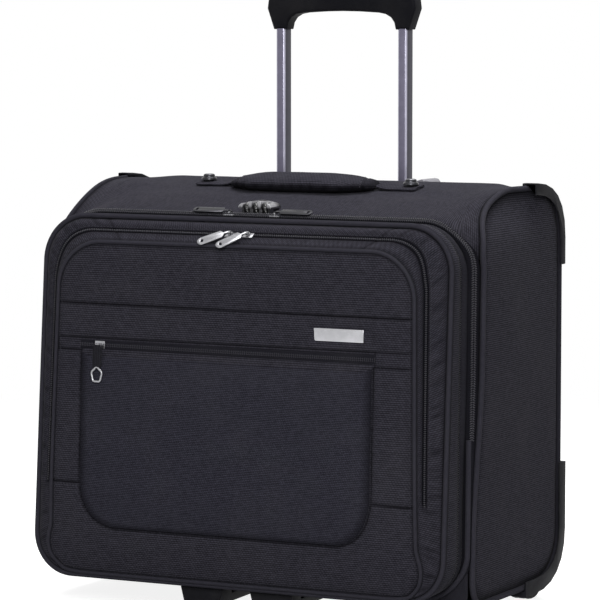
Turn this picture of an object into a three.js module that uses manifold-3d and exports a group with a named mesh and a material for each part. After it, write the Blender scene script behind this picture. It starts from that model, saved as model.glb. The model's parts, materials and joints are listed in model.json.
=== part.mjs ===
// Pilot rolling flight case with a telescopic handle, in millimetres, +Z up.
// It stands on its floor plane with its front towards -Y. Inside this file y = 0 is the rim plane
// of the rear body at rimLevel, and the finished group is centred over the origin.
import * as THREE from "three";
import { ConvexGeometry } from "three/addons/geometries/ConvexGeometry.js";
import { mergeVertices } from "three/addons/utils/BufferGeometryUtils.js";
import Module from "manifold-3d";

const wasm = await Module();
wasm.setup();

// Clearances
const gap = 0.3;
const slideGap = 0.5;

// Rear body
const caseWidth = 440;
const sideHalf = caseWidth / 2;
const caseBottom = 21;
const caseTop = 392;
const caseRear = 193;
const rimLean = 0.03;
const rimLevel = 200;
const wall = 4.5;
const pipingSize = 6;
const pipingProud = 2;
const frontCornerTop = 332;
const frontCornerDepth = 96;
const rearCornerTop = 50;
const rearCornerDepth = 61;
const rearCornerBottom = 47;
const rearCornerReach = 64;
const frontToe = 26;
const topSeamHeight = caseTop - rearCornerTop - 25;
const archStart = sideHalf - 55;
const archHalf = sideHalf - 24;
const baseSeamHeight = caseBottom + rearCornerBottom + 3;
const bezelTop = caseTop - 0.5;

// Front section, seen from the front
const lidTopHalf = sideHalf - 10.5;
const lidBottomHalf = sideHalf - 9.5;
const lidTop = caseTop - 27;
const lidBottom = caseBottom + 8.5;
const lidTopRadius = 43;
const lidBottomRadius = 39;
const lidLean = 0.072;
const lidDepth = 40;
const lidPipingSize = 6;
const rimRing = 3;
const rimCornerRadius = 10;
const zipperBand = 1.6;
const mainZipperEnd = 170;
const lidFrameEnd = 16;
const lidGussetStart = 17.6;
const lidBoardDepth = 5;
const boardThickness = 2.6;
const foldLength = 12;
const foldThickness = 2;

// Pocket
const pocketTopHalf = lidTopHalf - 35;
const pocketBottomHalf = lidBottomHalf - 26;
const pocketTop = lidTop - 25;
const pocketBottom = lidBottom + 8;
const pocketTopRadius = 42;
const pocketBottomRadius = 40;
const coverThickness = 4;
const pocketPipingSize = 3.5;
const gussetThickness = 4;
const swingGap = 1;
const coverProfile = [
  [pocketTop, -51],
  [pocketTop - 12, -52.8],
  [pocketTop - 40, -54],
  [pocketTop - 90, -56.3],
  [pocketTop - 140, -58.6],
  [pocketBottom + 114, -60.8],
  [pocketBottom + 74, -62],
  [pocketBottom + 44, -61.5],
  [pocketBottom + 24, -60],
  [pocketBottom + 9, -58],
  [pocketBottom, -56],
];

// Telescopic handle
const tubeSpacing = 130;
const tubeCentreY = caseRear - 18;
const innerTubeWidth = 9.6;
const innerTubeDepth = 15;
const tubeWall = 1.2;
const tubeChamfer = 1.5;
const outerTubeBottom = 60;
const middleTubeBottom = 62;
const innerTubeBottom = 226;
const gripTop = 575;
const gripBottom = gripTop - 39;
const gripHalf = 79;
const gripDepth = 18;
const buttonHalf = 14;
const buttonDepth = 10;
const buttonProud = 2;
const buttonTravel = 4;
const bezelHalf = 98;
const bezelDepth = 32;
const bezelHeight = 21;
const bezelRise = 3.5;

// Wheels, feet and guards
const wheelRadius = 25;
const wheelWidth = 22;
const wheelX = sideHalf - 30;
const wheelY = caseRear - 17;
const axleRadius = 3;
const wellRadius = 28;
const wellWidth = 27;
const housingInner = sideHalf - 55;
const housingProud = 7;
const housingTop = 130;
const housingFront = 107;
const guardProud = 3.8;
const lipReach = 7;
const lipThickness = 1.5;
const guardInner = sideHalf - 12;
const guardFront = 125;
const footSpacing = 72;
const footTopWidth = 44;
const footBottomWidth = 30;
const footFront = -47;
const footLength = 22;
const footTop = lidBottom - 2.3;
const footArmEnd = 25;

// Carry handle
const carryHalf = 77;
const carryFront = 64;
const carryRear = 108;
const carryHeight = 12;
const strapWidth = 24;
const strapThickness = 2.5;
const strapCentreY = 100;
const studSpacing = 213;
const studRadius = 7.3;
const studHeight = 5.6;

// Lock
const lockX = -8;
const lockHalf = 17;
const lockFront = 6;
const lockDepth = 20;
const lockHeight = 14.5;
const dialSpacing = 9.5;
const dialWidth = 5.4;
const dialRadius = 5.2;
const lockSink = 8;
const lockButtonWidth = 7;
const lockButtonSink = 4;
const lockButtonTravel = 1.5;

// Zipper sliders and pulls
const sliderTravelSize = 10;
const sliderCrossSize = 7;
const sliderThickness = 1.6;
const barHeight = 3.7;
const barHalf = 0.5;
const ringOuter = 1.8;
const ringInner = 1.05;
const ringHalf = 1;
const postInner = 1.4;
const postOuter = 2.4;
const postHalf = 0.7;
const tabLift = 0.9;
const tabThickness = 1.2;
const mainPullLength = 38;
const pocketPullLength = 31;
const frontPullLength = 36;
const pullWidth = 9;
const frontPullWidth = 12;
const pocketPullLean = [59, 50];
const mainPullRoll = 28;
const mainSliderX = 23.5;
const pocketSliderX = [-8, 10];
const pocketZipperY = -39.5;
const frontSliderX = 39 - pocketTopHalf;
const frontZipperHeight = 247;
const pocketTurn = 50;

// Plate
const plateWidth = 50;
const plateHeight = 11.5;
const plateThickness = 1.4;
const plateCentre = [pocketTopHalf - 65, 266.5];

const material = (color, roughness, metalness = 0) =>
  new THREE.MeshStandardMaterial({ color, roughness, metalness });
const fabric = material(0x2c2c31, 0.92);
const trim = material(0x35353b, 0.85);
const webbing = material(0x232328, 0.9);
const board = material(0x1e1e20, 0.95);
const plastic = material(0x18181b, 0.45);
const tubeFinish = material(0x8f8a9c, 0.35, 0.9);
const bezelFinish = material(0x9a979f, 0.45, 0.6);
const bright = material(0xc4c4c8, 0.28, 1);
const gunmetal = material(0x6d6c73, 0.35, 0.9);
const tyre = material(0x151516, 0.8);

// Solids by manifold, and back to a geometry
function solidOf(geometry) {
  const bare = geometry.clone();
  bare.deleteAttribute("normal");
  bare.deleteAttribute("uv");
  const merged = mergeVertices(bare, 1e-3);
  const vertProperties = new Float32Array(merged.attributes.position.array);
  const triVerts = new Uint32Array(merged.index.array);
  return new wasm.Manifold(new wasm.Mesh({ numProp: 3, vertProperties, triVerts }));
}

function geometryOf(solid) {
  const made = solid.getMesh();
  const geometry = new THREE.BufferGeometry();
  geometry.setAttribute("position", new THREE.Float32BufferAttribute(made.vertProperties, 3));
  geometry.setIndex(new THREE.Uint32BufferAttribute(made.triVerts, 1));
  return geometry;
}

const cut = (body, ...tools) =>
  geometryOf(tools.reduce((solid, tool) => solid.subtract(solidOf(tool)), solidOf(body)));
const join = (body, ...others) =>
  geometryOf(others.reduce((solid, other) => solid.add(solidOf(other)), solidOf(body)));
const common = (body, other) => geometryOf(solidOf(body).intersect(solidOf(other)));

// The same geometry on the other side of the case
function mirrored(geometry) {
  const copy = geometry.index ? geometry.toNonIndexed() : geometry.clone();
  const place = copy.attributes.position;
  for (let i = 0; i < place.count; i += 3) {
    const points = [0, 2, 1].map((k) => new THREE.Vector3().fromBufferAttribute(place, i + k));
    points.forEach((p, k) => place.setXYZ(i + k, -p.x, p.y, p.z));
  }
  return copy;
}

// How far cutting tools reach, and the sides of a large round
const reach = caseWidth;
const roundSteps = 28;

const vectors = (pairs) => pairs.map(([a, b]) => new THREE.Vector2(a, b));

const anticlockwise = (loop) => (THREE.ShapeUtils.area(loop) < 0 ? [...loop].reverse() : loop);

// Extrusions along each axis. The outline is (y, z), (x, z) or (x, y).
function extrude(outline, hole, length) {
  const shape = new THREE.Shape(anticlockwise(outline));
  if (hole) shape.holes.push(new THREE.Path(hole));
  return new THREE.ExtrudeGeometry(shape, { depth: length, bevelEnabled: false });
}

function alongX(outline, from, to, hole) {
  const swap = new THREE.Matrix4().set(0, 0, 1, from, 1, 0, 0, 0, 0, 1, 0, 0, 0, 0, 0, 1);
  return extrude(outline, hole, to - from).applyMatrix4(swap);
}

function alongY(outline, from, to, hole) {
  const swap = new THREE.Matrix4().set(1, 0, 0, 0, 0, 0, -1, to, 0, 1, 0, 0, 0, 0, 0, 1);
  return extrude(outline, hole, to - from).applyMatrix4(swap);
}

const alongZ = (outline, from, to, hole) => extrude(outline, hole, to - from).translate(0, 0, from);

function block(x0, x1, y0, y1, z0, z1) {
  const box = new THREE.BoxGeometry(x1 - x0, y1 - y0, z1 - z0);
  return box.translate((x0 + x1) / 2, (y0 + y1) / 2, (z0 + z1) / 2);
}

// Moves each vertex along Y by what its height gives, so that an upright slab leans with the rim
function lean(geometry, offset) {
  const place = geometry.attributes.position;
  for (let i = 0; i < place.count; i++) {
    place.setY(i, place.getY(i) + offset(place.getZ(i)));
  }
  return geometry;
}

// A closed loop, each point moved outwards by a distance along its mitred corner
function offsetLoop(points, distance) {
  const turn = THREE.ShapeUtils.area(points) > 0 ? 1 : -1;
  return points.map((p, i) => {
    const before = points[(i + points.length - 1) % points.length];
    const after = points[(i + 1) % points.length];
    const a = p.clone().sub(before).normalize();
    const b = after.clone().sub(p).normalize();
    const out = new THREE.Vector2(a.y + b.y, -a.x - b.x).normalize();
    const spread = Math.max(0.5, out.dot(new THREE.Vector2(a.y, -a.x)));
    return p.clone().addScaledVector(out, (turn * distance) / spread);
  });
}

// An open line of points, moved sideways to its right by a distance
function offsetLine(points, distance) {
  return points.map((p, i) => {
    const before = points[Math.max(i - 1, 0)];
    const after = points[Math.min(i + 1, points.length - 1)];
    const along = after.clone().sub(before).normalize();
    return p.clone().add(new THREE.Vector2(along.y, -along.x).multiplyScalar(distance));
  });
}

// A loop without its repeated last point
function loopOf(shape, steps) {
  const points = shape.getPoints(steps);
  return points.filter((p, i) => p.distanceTo(points[(i + 1) % points.length]) > 1e-4);
}

const rimY = (z) => rimLean * (z - rimLevel);
const lidY = (z) => lidLean * (z - rimLevel) - lidDepth;

// Side view of the rear body
const sideLoop = (() => {
  const s = new THREE.Shape();
  const toe = caseBottom + frontToe;
  s.moveTo(rimY(toe), toe);
  s.lineTo(rimY(frontCornerTop), frontCornerTop);
  s.bezierCurveTo(
    rimY(frontCornerTop) + 3, frontCornerTop + 30,
    frontCornerDepth / 2 + 4, caseTop - 1,
    frontCornerDepth + 4, caseTop,
  );
  s.lineTo(caseRear - rearCornerDepth, caseTop);
  s.bezierCurveTo(
    caseRear - 25, caseTop - 1,
    caseRear, caseTop - 16,
    caseRear, caseTop - rearCornerTop,
  );
  s.lineTo(caseRear, caseBottom + rearCornerBottom);
  s.bezierCurveTo(
    caseRear, caseBottom + 17,
    caseRear - 22, caseBottom,
    caseRear - rearCornerReach, caseBottom,
  );
  s.lineTo(rimY(toe) + frontToe, caseBottom);
  s.quadraticCurveTo(rimY(toe), caseBottom, rimY(toe), toe);
  return loopOf(s, 6);
})();

const wrapHalf = sideHalf - pipingSize - gap;
const panelLoop = offsetLoop(sideLoop, -3.3);
const pipingOuter = offsetLoop(sideLoop, pipingProud);
const pipingInner = offsetLoop(sideLoop, -3);

// Rounded outline of the front section and of the pocket, (x, z)
function frontLoop(topHalf, bottomHalf, top, bottom, topRadius, bottomRadius) {
  const steps = 5;
  const points = [];
  const corner = (x, z, radius, start) => {
    for (let i = 0; i <= steps; i++) {
      const angle = start + (Math.PI / 2) * (i / steps);
      points.push(new THREE.Vector2(x + radius * Math.cos(angle), z + radius * Math.sin(angle)));
    }
  };
  corner(topHalf - topRadius, top - topRadius, topRadius, 0);
  corner(-topHalf + topRadius, top - topRadius, topRadius, Math.PI / 2);
  corner(-bottomHalf + bottomRadius, bottom + bottomRadius, bottomRadius, Math.PI);
  corner(bottomHalf - bottomRadius, bottom + bottomRadius, bottomRadius, Math.PI * 1.5);
  return points;
}

const lidLoop = frontLoop(
  lidTopHalf, lidBottomHalf, lidTop, lidBottom, lidTopRadius, lidBottomRadius,
);
const pocketLoop = frontLoop(
  pocketTopHalf, pocketBottomHalf, pocketTop, pocketBottom, pocketTopRadius, pocketBottomRadius,
);

const group = new THREE.Group();
const assembly = new THREE.Group();
group.add(assembly);

function add(name, geometry, finish) {
  const mesh = new THREE.Mesh(geometry, finish);
  mesh.name = name;
  assembly.add(mesh);
  return mesh;
}

function addPair(name, geometry, finish) {
  add(name + "_right", geometry, finish);
  add(name + "_left", mirrored(geometry), finish);
}

// Side panels and their piping
addPair("side_panel", alongX(panelLoop, sideHalf - pipingSize, sideHalf - 1.5), fabric);
addPair("side_piping", alongX(pipingOuter, sideHalf - pipingSize, sideHalf, pipingInner), trim);

// Top panel: its section changes from a low slope in the middle to the side panels' arch
const topMiddle = vectors([
  [18, caseTop - 22], [32, caseTop - 17.6], [46, caseTop - 13.6], [60, caseTop - 10],
  [78, caseTop - 6.7], [98, caseTop - 3], [135, caseTop + 1], [caseRear - 37, caseTop + 1.5],
  [caseRear - 23, caseTop], [caseRear - 12, caseTop - 4.5], [caseRear - 5, caseTop - 12.5],
  [caseRear - 1, caseTop - 25], [caseRear, caseTop - 40], [caseRear, topSeamHeight],
]);
const topSide = [
  ...sideLoop.slice(2, topMiddle.length + 1),
  new THREE.Vector2(caseRear, topSeamHeight),
];

const rimTopAt = (x) => {
  const past = Math.max(0, Math.abs(x) - (lidTopHalf - lidTopRadius));
  const reach = Math.min(past, lidTopRadius - 1.5);
  return lidTop - lidTopRadius + Math.sqrt(lidTopRadius ** 2 - reach ** 2);
};

function topSection(x) {
  const rimTop = Math.max(rimTopAt(x), frontCornerTop);
  const frontShare = (lidTop - rimTop) / (lidTop - frontCornerTop);
  const rearShare = THREE.MathUtils.smoothstep(Math.abs(x), archStart, archHalf);
  const start = new THREE.Vector2(rimY(rimTop), rimTop);
  const arch = topMiddle.map((p, i) => {
    const rearness = Math.min(1, i / 6);
    const share = THREE.MathUtils.lerp(frontShare, rearShare, rearness);
    return p.clone().lerp(topSide[i], x < archHalf && x > -archHalf ? share : 1);
  });
  return [start, ...arch];
}

// Sections of equal point count joined into one closed skin
function loft(sections) {
  const stations = sections.map(({ x, loop }) => ({ x, loop: anticlockwise(loop) }));
  const count = stations[0].loop.length;
  const places = stations.flatMap((s) => s.loop.flatMap((p) => [s.x, p.x, p.y]));
  const faces = [];
  for (let s = 0; s + 1 < stations.length; s++) {
    for (let i = 0; i < count; i++) {
      const a = s * count + i;
      const b = s * count + ((i + 1) % count);
      faces.push(a, b, a + count, b, b + count, a + count);
    }
  }
  const lastStart = (stations.length - 1) * count;
  const cap = (loop, start, flip) => {
    for (const [a, b, c] of THREE.ShapeUtils.triangulateShape(loop, [])) {
      faces.push(start + a, start + (flip ? c : b), start + (flip ? b : c));
    }
  };
  cap(stations[0].loop, 0, true);
  cap(stations[stations.length - 1].loop, lastStart, false);
  const geometry = new THREE.BufferGeometry();
  geometry.setAttribute("position", new THREE.Float32BufferAttribute(places, 3));
  geometry.setIndex(faces);
  return geometry;
}

const topStations = [0, archStart - 45, archStart - 15, archStart, 178, 188, archHalf, 204, wrapHalf];
const topXs = [...topStations.slice(1).reverse().map((x) => -x), ...topStations];
const topShell = loft(
  topXs.map((x) => {
    const outer = topSection(x);
    return { x, loop: [...outer, ...offsetLine(outer, wall).reverse()] };
  }),
);
const rimCutter = lean(block(-reach, reach, -lidDepth, gap, 0, reach), rimY);

// Bezel that the tubes come out of, set into the top panel
const tubeHalf = tubeSpacing / 2;
const middleTubeWidth = innerTubeWidth + 2 * slideGap + 2 * tubeWall;
const middleTubeDepth = innerTubeDepth + 2 * slideGap + 2 * tubeWall;
const outerTubeWidth = middleTubeWidth + 2 * slideGap + 2 * tubeWall;
const outerTubeDepth = middleTubeDepth + 2 * slideGap + 2 * tubeWall;

function tubeLoop(width, depth, x, chamfer = tubeChamfer) {
  const a = width / 2;
  const b = depth / 2;
  const c = chamfer;
  return vectors([
    [a, -b + c], [a, b - c], [a - c, b], [-a + c, b],
    [-a, b - c], [-a, -b + c], [-a + c, -b], [a - c, -b],
  ]).map((p) => p.add(new THREE.Vector2(x, tubeCentreY)));
}

const bezelBottom = bezelTop - bezelHeight;
const cutTop = caseTop + 10;
const bezelSeat = (() => {
  const loop = tubeLoop(2 * (bezelHalf + gap), bezelDepth + 2 * gap, 0, 6);
  return alongZ(loop, bezelBottom - gap, cutTop);
})();

// Flush with the top panel between the tubes, with a low raised end beyond each
const bezelBody = (() => {
  const end = [
    [bezelHalf, bezelTop + 0.5], [bezelHalf - 4, bezelTop + bezelRise - 0.5],
    [bezelHalf - 9, bezelTop + bezelRise], [bezelHalf - 16, bezelTop + 1.5], [bezelHalf - 22, bezelTop],
  ];
  const profile = vectors([
    [-bezelHalf, bezelBottom], [bezelHalf, bezelBottom],
    ...end, ...end.map(([x, z]) => [-x, z]).reverse(),
  ]);
  const loop = tubeLoop(2 * bezelHalf, bezelDepth, 0, 6);
  return common(
    alongZ(loop, bezelBottom - 1, cutTop),
    alongY(profile, tubeCentreY - bezelDepth, tubeCentreY + bezelDepth),
  );
})();

const bezelHoles = [-tubeHalf, tubeHalf].map((x) => {
  const loop = tubeLoop(middleTubeWidth + 2 * gap, middleTubeDepth + 2 * gap, x);
  return alongZ(loop, bezelBottom - 5, bezelTop + 5);
});
add("handle_bezel", cut(bezelBody, ...bezelHoles), bezelFinish);

const lockY0 = lockFront + 3;
const lockY1 = lockFront + lockDepth - 3;
const lockHole = block(
  lockX - lockHalf + 2 - gap, lockX + lockHalf - 2 + gap, lockY0 - gap, lockY1 + gap,
  lidTop - 20, lidTop + 20,
);
add("top_panel", cut(topShell, rimCutter, bezelSeat, lockHole), fabric);

// Back panel and base tray, each a bent strip inside the side panels
function strip(points, thickness) {
  return [...points, ...offsetLine(points, thickness).reverse()];
}

const lowerLine = sideLoop.filter((p) => p.y < caseBottom + rearCornerBottom + 1);
const lowerOrder = lowerLine
  .filter((p) => p.x > rimY(caseBottom) + frontToe - 1)
  .sort((a, b) => b.y - a.y || b.x - a.x);
const backLoop = strip(
  vectors([[caseRear, topSeamHeight - gap], [caseRear, baseSeamHeight + gap]]), wall,
);
const baseLoop = strip(
  [
    new THREE.Vector2(caseRear, baseSeamHeight),
    ...lowerOrder,
    new THREE.Vector2(rimY(caseBottom) + gap, caseBottom),
  ],
  wall,
);

// Wheel housings: a bumper round the rear bottom corner and a box round each wheel well. Its lip
// covers the piping on the side panel.
const lipFace = sideHalf + gap + lipThickness;
const wellHalf = wellWidth / 2;
const wellOuter = wheelX + wellHalf + 5;
const wellFront = wheelY - wellRadius - 4;
const wellTop = wheelRadius + wellRadius + 5;
const wellBottom = 4;
const wellBox = (grow) =>
  block(
    housingInner - grow, wellOuter + grow, wellFront - grow, reach, wellBottom, wellTop + grow,
  );
const housingZone = block(0, reach, housingFront, reach, 0, housingTop);
const housingFar = offsetLoop(sideLoop, housingProud);

function housingBand(inner, x0, x1) {
  return common(alongX(housingFar, x0, x1, offsetLoop(sideLoop, inner)), housingZone);
}

const wheelWell = new THREE.CylinderGeometry(wellRadius, wellRadius, wellWidth, roundSteps)
  .rotateZ(Math.PI / 2)
  .translate(wheelX, wheelY, wheelRadius);
const wellMouth = block(
  wheelX - wellHalf, wheelX + wellHalf, wheelY - wellRadius, reach, -wellBottom, wheelRadius,
);
const axleBore = new THREE.CylinderGeometry(axleRadius + gap, axleRadius + gap, 2 * wellWidth, 12)
  .rotateZ(Math.PI / 2)
  .translate(wheelX, wheelY, wheelRadius);
const wellSolid = common(
  wellBox(0),
  alongX(housingFar, housingInner, wellOuter),
);
const housing = cut(
  join(
    housingBand(gap, housingInner, wrapHalf),
    housingBand(pipingProud + gap, wrapHalf - 1, lipFace),
    housingBand(-lipReach, sideHalf + gap, lipFace),
    wellSolid,
  ),
  wheelWell,
  wellMouth,
  axleBore,
);
addPair("wheel_housing", housing, plastic);
const trayCuts = [wellBox(gap), mirrored(wellBox(gap))];
add("back_panel", cut(alongX(backLoop, -wrapHalf, wrapHalf), ...trayCuts), fabric);
add("base_tray", cut(alongX(baseLoop, -wrapHalf, wrapHalf), ...trayCuts), plastic);

const axle = new THREE.CylinderGeometry(axleRadius, axleRadius, wellOuter - housingInner - 2, 12)
  .rotateZ(Math.PI / 2)
  .translate((wellOuter + housingInner) / 2, wheelY, wheelRadius);
addPair("axle", axle, gunmetal);

const wheelProfile = vectors([
  [axleRadius + gap, -9.5], [8, -9.5], [9.5, -7], [16.5, -7], [18.5, -9.5],
  [wheelRadius - 3, -wheelWidth / 2], [wheelRadius - 0.8, -wheelWidth / 2 + 2],
  [wheelRadius, -wheelWidth / 2 + 5], [wheelRadius, wheelWidth / 2 - 5],
  [wheelRadius - 0.8, wheelWidth / 2 - 2], [wheelRadius - 3, wheelWidth / 2],
  [18.5, 9.5], [16.5, 7], [9.5, 7], [8, 9.5], [axleRadius + gap, 9.5],
  [axleRadius + gap, -9.5],
]);
const wheel = new THREE.LatheGeometry(wheelProfile, roundSteps)
  .rotateZ(Math.PI / 2)
  .translate(wheelX, wheelY, wheelRadius);
addPair("wheel", wheel, tyre);

// Top rear corner guards, seated on the panel and its piping
const guardZone = block(0, reach, guardFront, reach, topSeamHeight, reach);
const guardFar = offsetLoop(sideLoop, guardProud);
const guardBand = (inner, x0, x1) =>
  common(alongX(guardFar, x0, x1, offsetLoop(sideLoop, inner)), guardZone);
const guard = join(
  guardBand(gap + 0.1, guardInner, wrapHalf),
  guardBand(pipingProud + gap, wrapHalf - 1, lipFace),
  guardBand(-lipReach, sideHalf + gap, lipFace),
);
addPair("corner_guard", guard, plastic);

// Front feet: a tapered block under the front section, on an arm that runs back under the tray
const footHalf = footTopWidth / 2;
const footLow = footBottomWidth / 2;
const footFace = vectors([
  [-footLow, 0], [footLow, 0], [footHalf - 4, 11], [footHalf, footTop], [-footHalf, footTop],
  [-footHalf + 4, 11],
]);
const footSide = vectors([
  [footFront + 3, 0], [footFront + footLength - 4, 0], [footFront + footLength, 11],
  [footArmEnd, 12.5], [footArmEnd, caseBottom - gap], [footFront + footLength, caseBottom - gap],
  [footFront + footLength, footTop], [footFront, footTop], [footFront, 4],
]);
const foot = common(
  alongY(footFace, footFront - 1, footArmEnd + 1),
  alongX(footSide, -footHalf, footHalf),
).translate(footSpacing / 2, 0, 0);
addPair("front_foot", foot, plastic);

// Outer tubes, the block at their foot and the board that covers them inside the case
const backInside = caseRear - wall;
const insideLoop = offsetLoop(sideLoop, -wall - gap);
const inCase = (body) => common(body, alongX(insideLoop, -wrapHalf, wrapHalf));

function tube(width, depth, x, bottom, top) {
  const hole = tubeLoop(width - 2 * tubeWall, depth - 2 * tubeWall, x, tubeChamfer - 0.4);
  return alongZ(tubeLoop(width, depth, x), bottom, top, hole);
}

addPair(
  "outer_tube",
  tube(outerTubeWidth, outerTubeDepth, tubeHalf, outerTubeBottom, bezelBottom - gap),
  gunmetal,
);
add(
  "tube_base",
  inCase(
    block(
      -tubeHalf - 16, tubeHalf + 16, tubeCentreY - 12, tubeCentreY + 15, caseBottom,
      outerTubeBottom - gap,
    ),
  ),
  plastic,
);
const coverTop = 350;
const coverHalf = tubeHalf + 40;
const coverFront = tubeCentreY - outerTubeDepth / 2 - 8;
const coverLoop = vectors([
  [-coverHalf, coverFront], [coverHalf, coverFront], [coverHalf, backInside - gap],
  [coverHalf - boardThickness, backInside - gap],
  [coverHalf - boardThickness, coverFront + boardThickness],
  [-coverHalf + boardThickness, coverFront + boardThickness],
  [-coverHalf + boardThickness, backInside - gap], [-coverHalf, backInside - gap],
]);
add("handle_cover", inCase(alongZ(coverLoop, caseBottom, coverTop)), board);

// Middle tubes, inner tubes, grip and button
addPair(
  "middle_tube",
  tube(middleTubeWidth, middleTubeDepth, tubeHalf, middleTubeBottom, bezelTop - 0.5),
  gunmetal,
);
const innerTop = gripTop - 15;
addPair(
  "inner_tube",
  tube(innerTubeWidth, innerTubeDepth, tubeHalf, innerTubeBottom, innerTop),
  tubeFinish,
);

const gripLoop = (() => {
  const s = new THREE.Shape();
  const legOut = tubeHalf + 7;
  const legIn = tubeHalf - 7;
  const arch = gripBottom + 15;
  s.moveTo(legIn, gripBottom);
  s.lineTo(legOut, gripBottom);
  s.lineTo(gripHalf, gripBottom + 20);
  s.quadraticCurveTo(gripHalf, gripTop - 1, gripHalf - 16, gripTop);
  s.lineTo(-gripHalf + 16, gripTop);
  s.quadraticCurveTo(-gripHalf, gripTop - 1, -gripHalf, gripBottom + 20);
  s.lineTo(-legOut, gripBottom);
  s.lineTo(-legIn, gripBottom);
  s.quadraticCurveTo(-legIn + 1, arch, -legIn + 18, arch + 1);
  s.quadraticCurveTo(0, arch + 4, legIn - 18, arch + 1);
  s.quadraticCurveTo(legIn - 1, arch, legIn, gripBottom);
  return loopOf(s, 4);
})();
const gripBody = new THREE.ExtrudeGeometry(new THREE.Shape(offsetLoop(gripLoop, -2)), {
  depth: gripDepth - 4, bevelEnabled: true, bevelThickness: 2, bevelSize: 2, bevelSegments: 1,
})
  .rotateX(Math.PI / 2)
  .translate(0, tubeCentreY + gripDepth / 2 - 2, 0);
const gripBores = [-tubeHalf, tubeHalf].map((x) => {
  const loop = tubeLoop(innerTubeWidth + 2 * gap, innerTubeDepth + 0.2, x);
  return alongZ(loop, gripBottom - 5, innerTop + gap);
});
const buttonSeat = block(
  -buttonHalf - gap, buttonHalf + gap,
  tubeCentreY - buttonDepth / 2 - gap, tubeCentreY + buttonDepth / 2 + gap,
  gripTop - 8, gripTop + 5,
);
add("pull_grip", cut(gripBody, ...gripBores, buttonSeat), plastic);
add(
  "grip_button",
  block(
    -buttonHalf, buttonHalf, tubeCentreY - buttonDepth / 2, tubeCentreY + buttonDepth / 2,
    gripTop - 8 + buttonTravel + gap, gripTop + buttonProud,
  ),
  gunmetal,
);

// Carry handle: padded grip, strap ends and studs on the slope of the top panel
function topLineAt(y) {
  const line = topSection(0);
  const i = Math.max(1, line.findIndex((p) => p.x >= y));
  const share = (y - line[i - 1].x) / (line[i].x - line[i - 1].x);
  return line[i - 1].y + share * (line[i].y - line[i - 1].y);
}

const topLine = (from, to, rise) => {
  const inside = topSection(0).filter((p) => p.x > from + 0.5 && p.x < to - 0.5);
  const ends = [from, to].map((y) => new THREE.Vector2(y, topLineAt(y)));
  return [ends[0], ...inside, ends[1]].map((p) => new THREE.Vector2(p.x, p.y + rise));
};

const carrySide = [
  ...topLine(carryFront, carryRear, gap),
  ...vectors([
    [carryRear, topLineAt(carryRear) + 8],
    [carryRear - 8, topLineAt(carryRear) + carryHeight - 2],
    [carryRear - 24, topLineAt(carryRear - 24) + carryHeight],
    [carryFront + 6, topLineAt(carryFront + 6) + carryHeight - 1.5],
    [carryFront, topLineAt(carryFront) + 8],
  ]),
];
const carryTopLoop = vectors([
  [-carryHalf, carryRear - 4], [-carryHalf + 12, carryRear], [carryHalf - 12, carryRear],
  [carryHalf, carryRear - 4], [carryHalf, carryFront + 22], [carryHalf - 20, carryFront + 6],
  [carryHalf - 50, carryFront], [-carryHalf + 50, carryFront], [-carryHalf + 20, carryFront + 6],
  [-carryHalf, carryFront + 22],
]);
add(
  "carry_grip",
  common(alongX(carrySide, -carryHalf, carryHalf), alongZ(carryTopLoop, caseBottom, gripTop)),
  fabric,
);
const strapY0 = strapCentreY - strapWidth / 2;
const strapY1 = strapCentreY + strapWidth / 2;
const strapLoop = [
  ...topLine(strapY0, strapY1, gap),
  ...topLine(strapY0, strapY1, gap + strapThickness).reverse(),
];
addPair(
  "carry_strap",
  alongX(strapLoop, carryHalf + gap, studSpacing / 2 + studRadius + 2),
  webbing,
);
const studBottom = topLineAt(strapCentreY + studRadius) + strapThickness + 2 * gap;
const stud = new THREE.CylinderGeometry(studRadius - 1.6, studRadius, studHeight, 16)
  .rotateX(Math.PI / 2)
  .translate(studSpacing / 2, strapCentreY, studBottom + studHeight / 2);
addPair("handle_stud", stud, gunmetal);

// Front rim, with the main zipper on it, and the frame of the front section
function ring(outerOffset, innerOffset, from, to, follow = rimY, loop = lidLoop) {
  const outer = offsetLoop(loop, outerOffset);
  const inner = offsetLoop(loop, innerOffset);
  return lean(alongY(outer, from, to, inner), follow);
}

const rimWidth = 9;
const rimHalf = wrapHalf - rimWidth;
const rimLoop = frontLoop(
  wrapHalf, wrapHalf, lidTop, caseBottom + 1, lidTopRadius + 2, rimCornerRadius,
);
const rimHole = frontLoop(
  rimHalf, rimHalf, lidTop - rimWidth, caseBottom + 1 + rimWidth, lidTopRadius - 7, lidBottomRadius - 5,
);
add("front_rim", lean(alongY(rimLoop, -rimRing - gap, -gap, rimHole), rimY), trim);
const zipperStart = rimRing + 2 * gap;
const zipperStop = zipperStart + zipperBand;
add(
  "main_zipper",
  common(
    ring(0, -4, -zipperStop, -zipperStart),
    block(-reach, reach, -reach, reach, mainZipperEnd, reach),
  ),
  gunmetal,
);
const frameDrop = 0.8;
add("lid_frame", ring(-frameDrop, -5, -lidFrameEnd, -zipperStop - gap), trim);
add(
  "expansion_gusset",
  ring(
    -5 - gap, -5 - gap - foldThickness,
    -lidGussetStart - foldLength / 2, -lidGussetStart + foldLength / 2,
  ),
  board,
);

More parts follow.
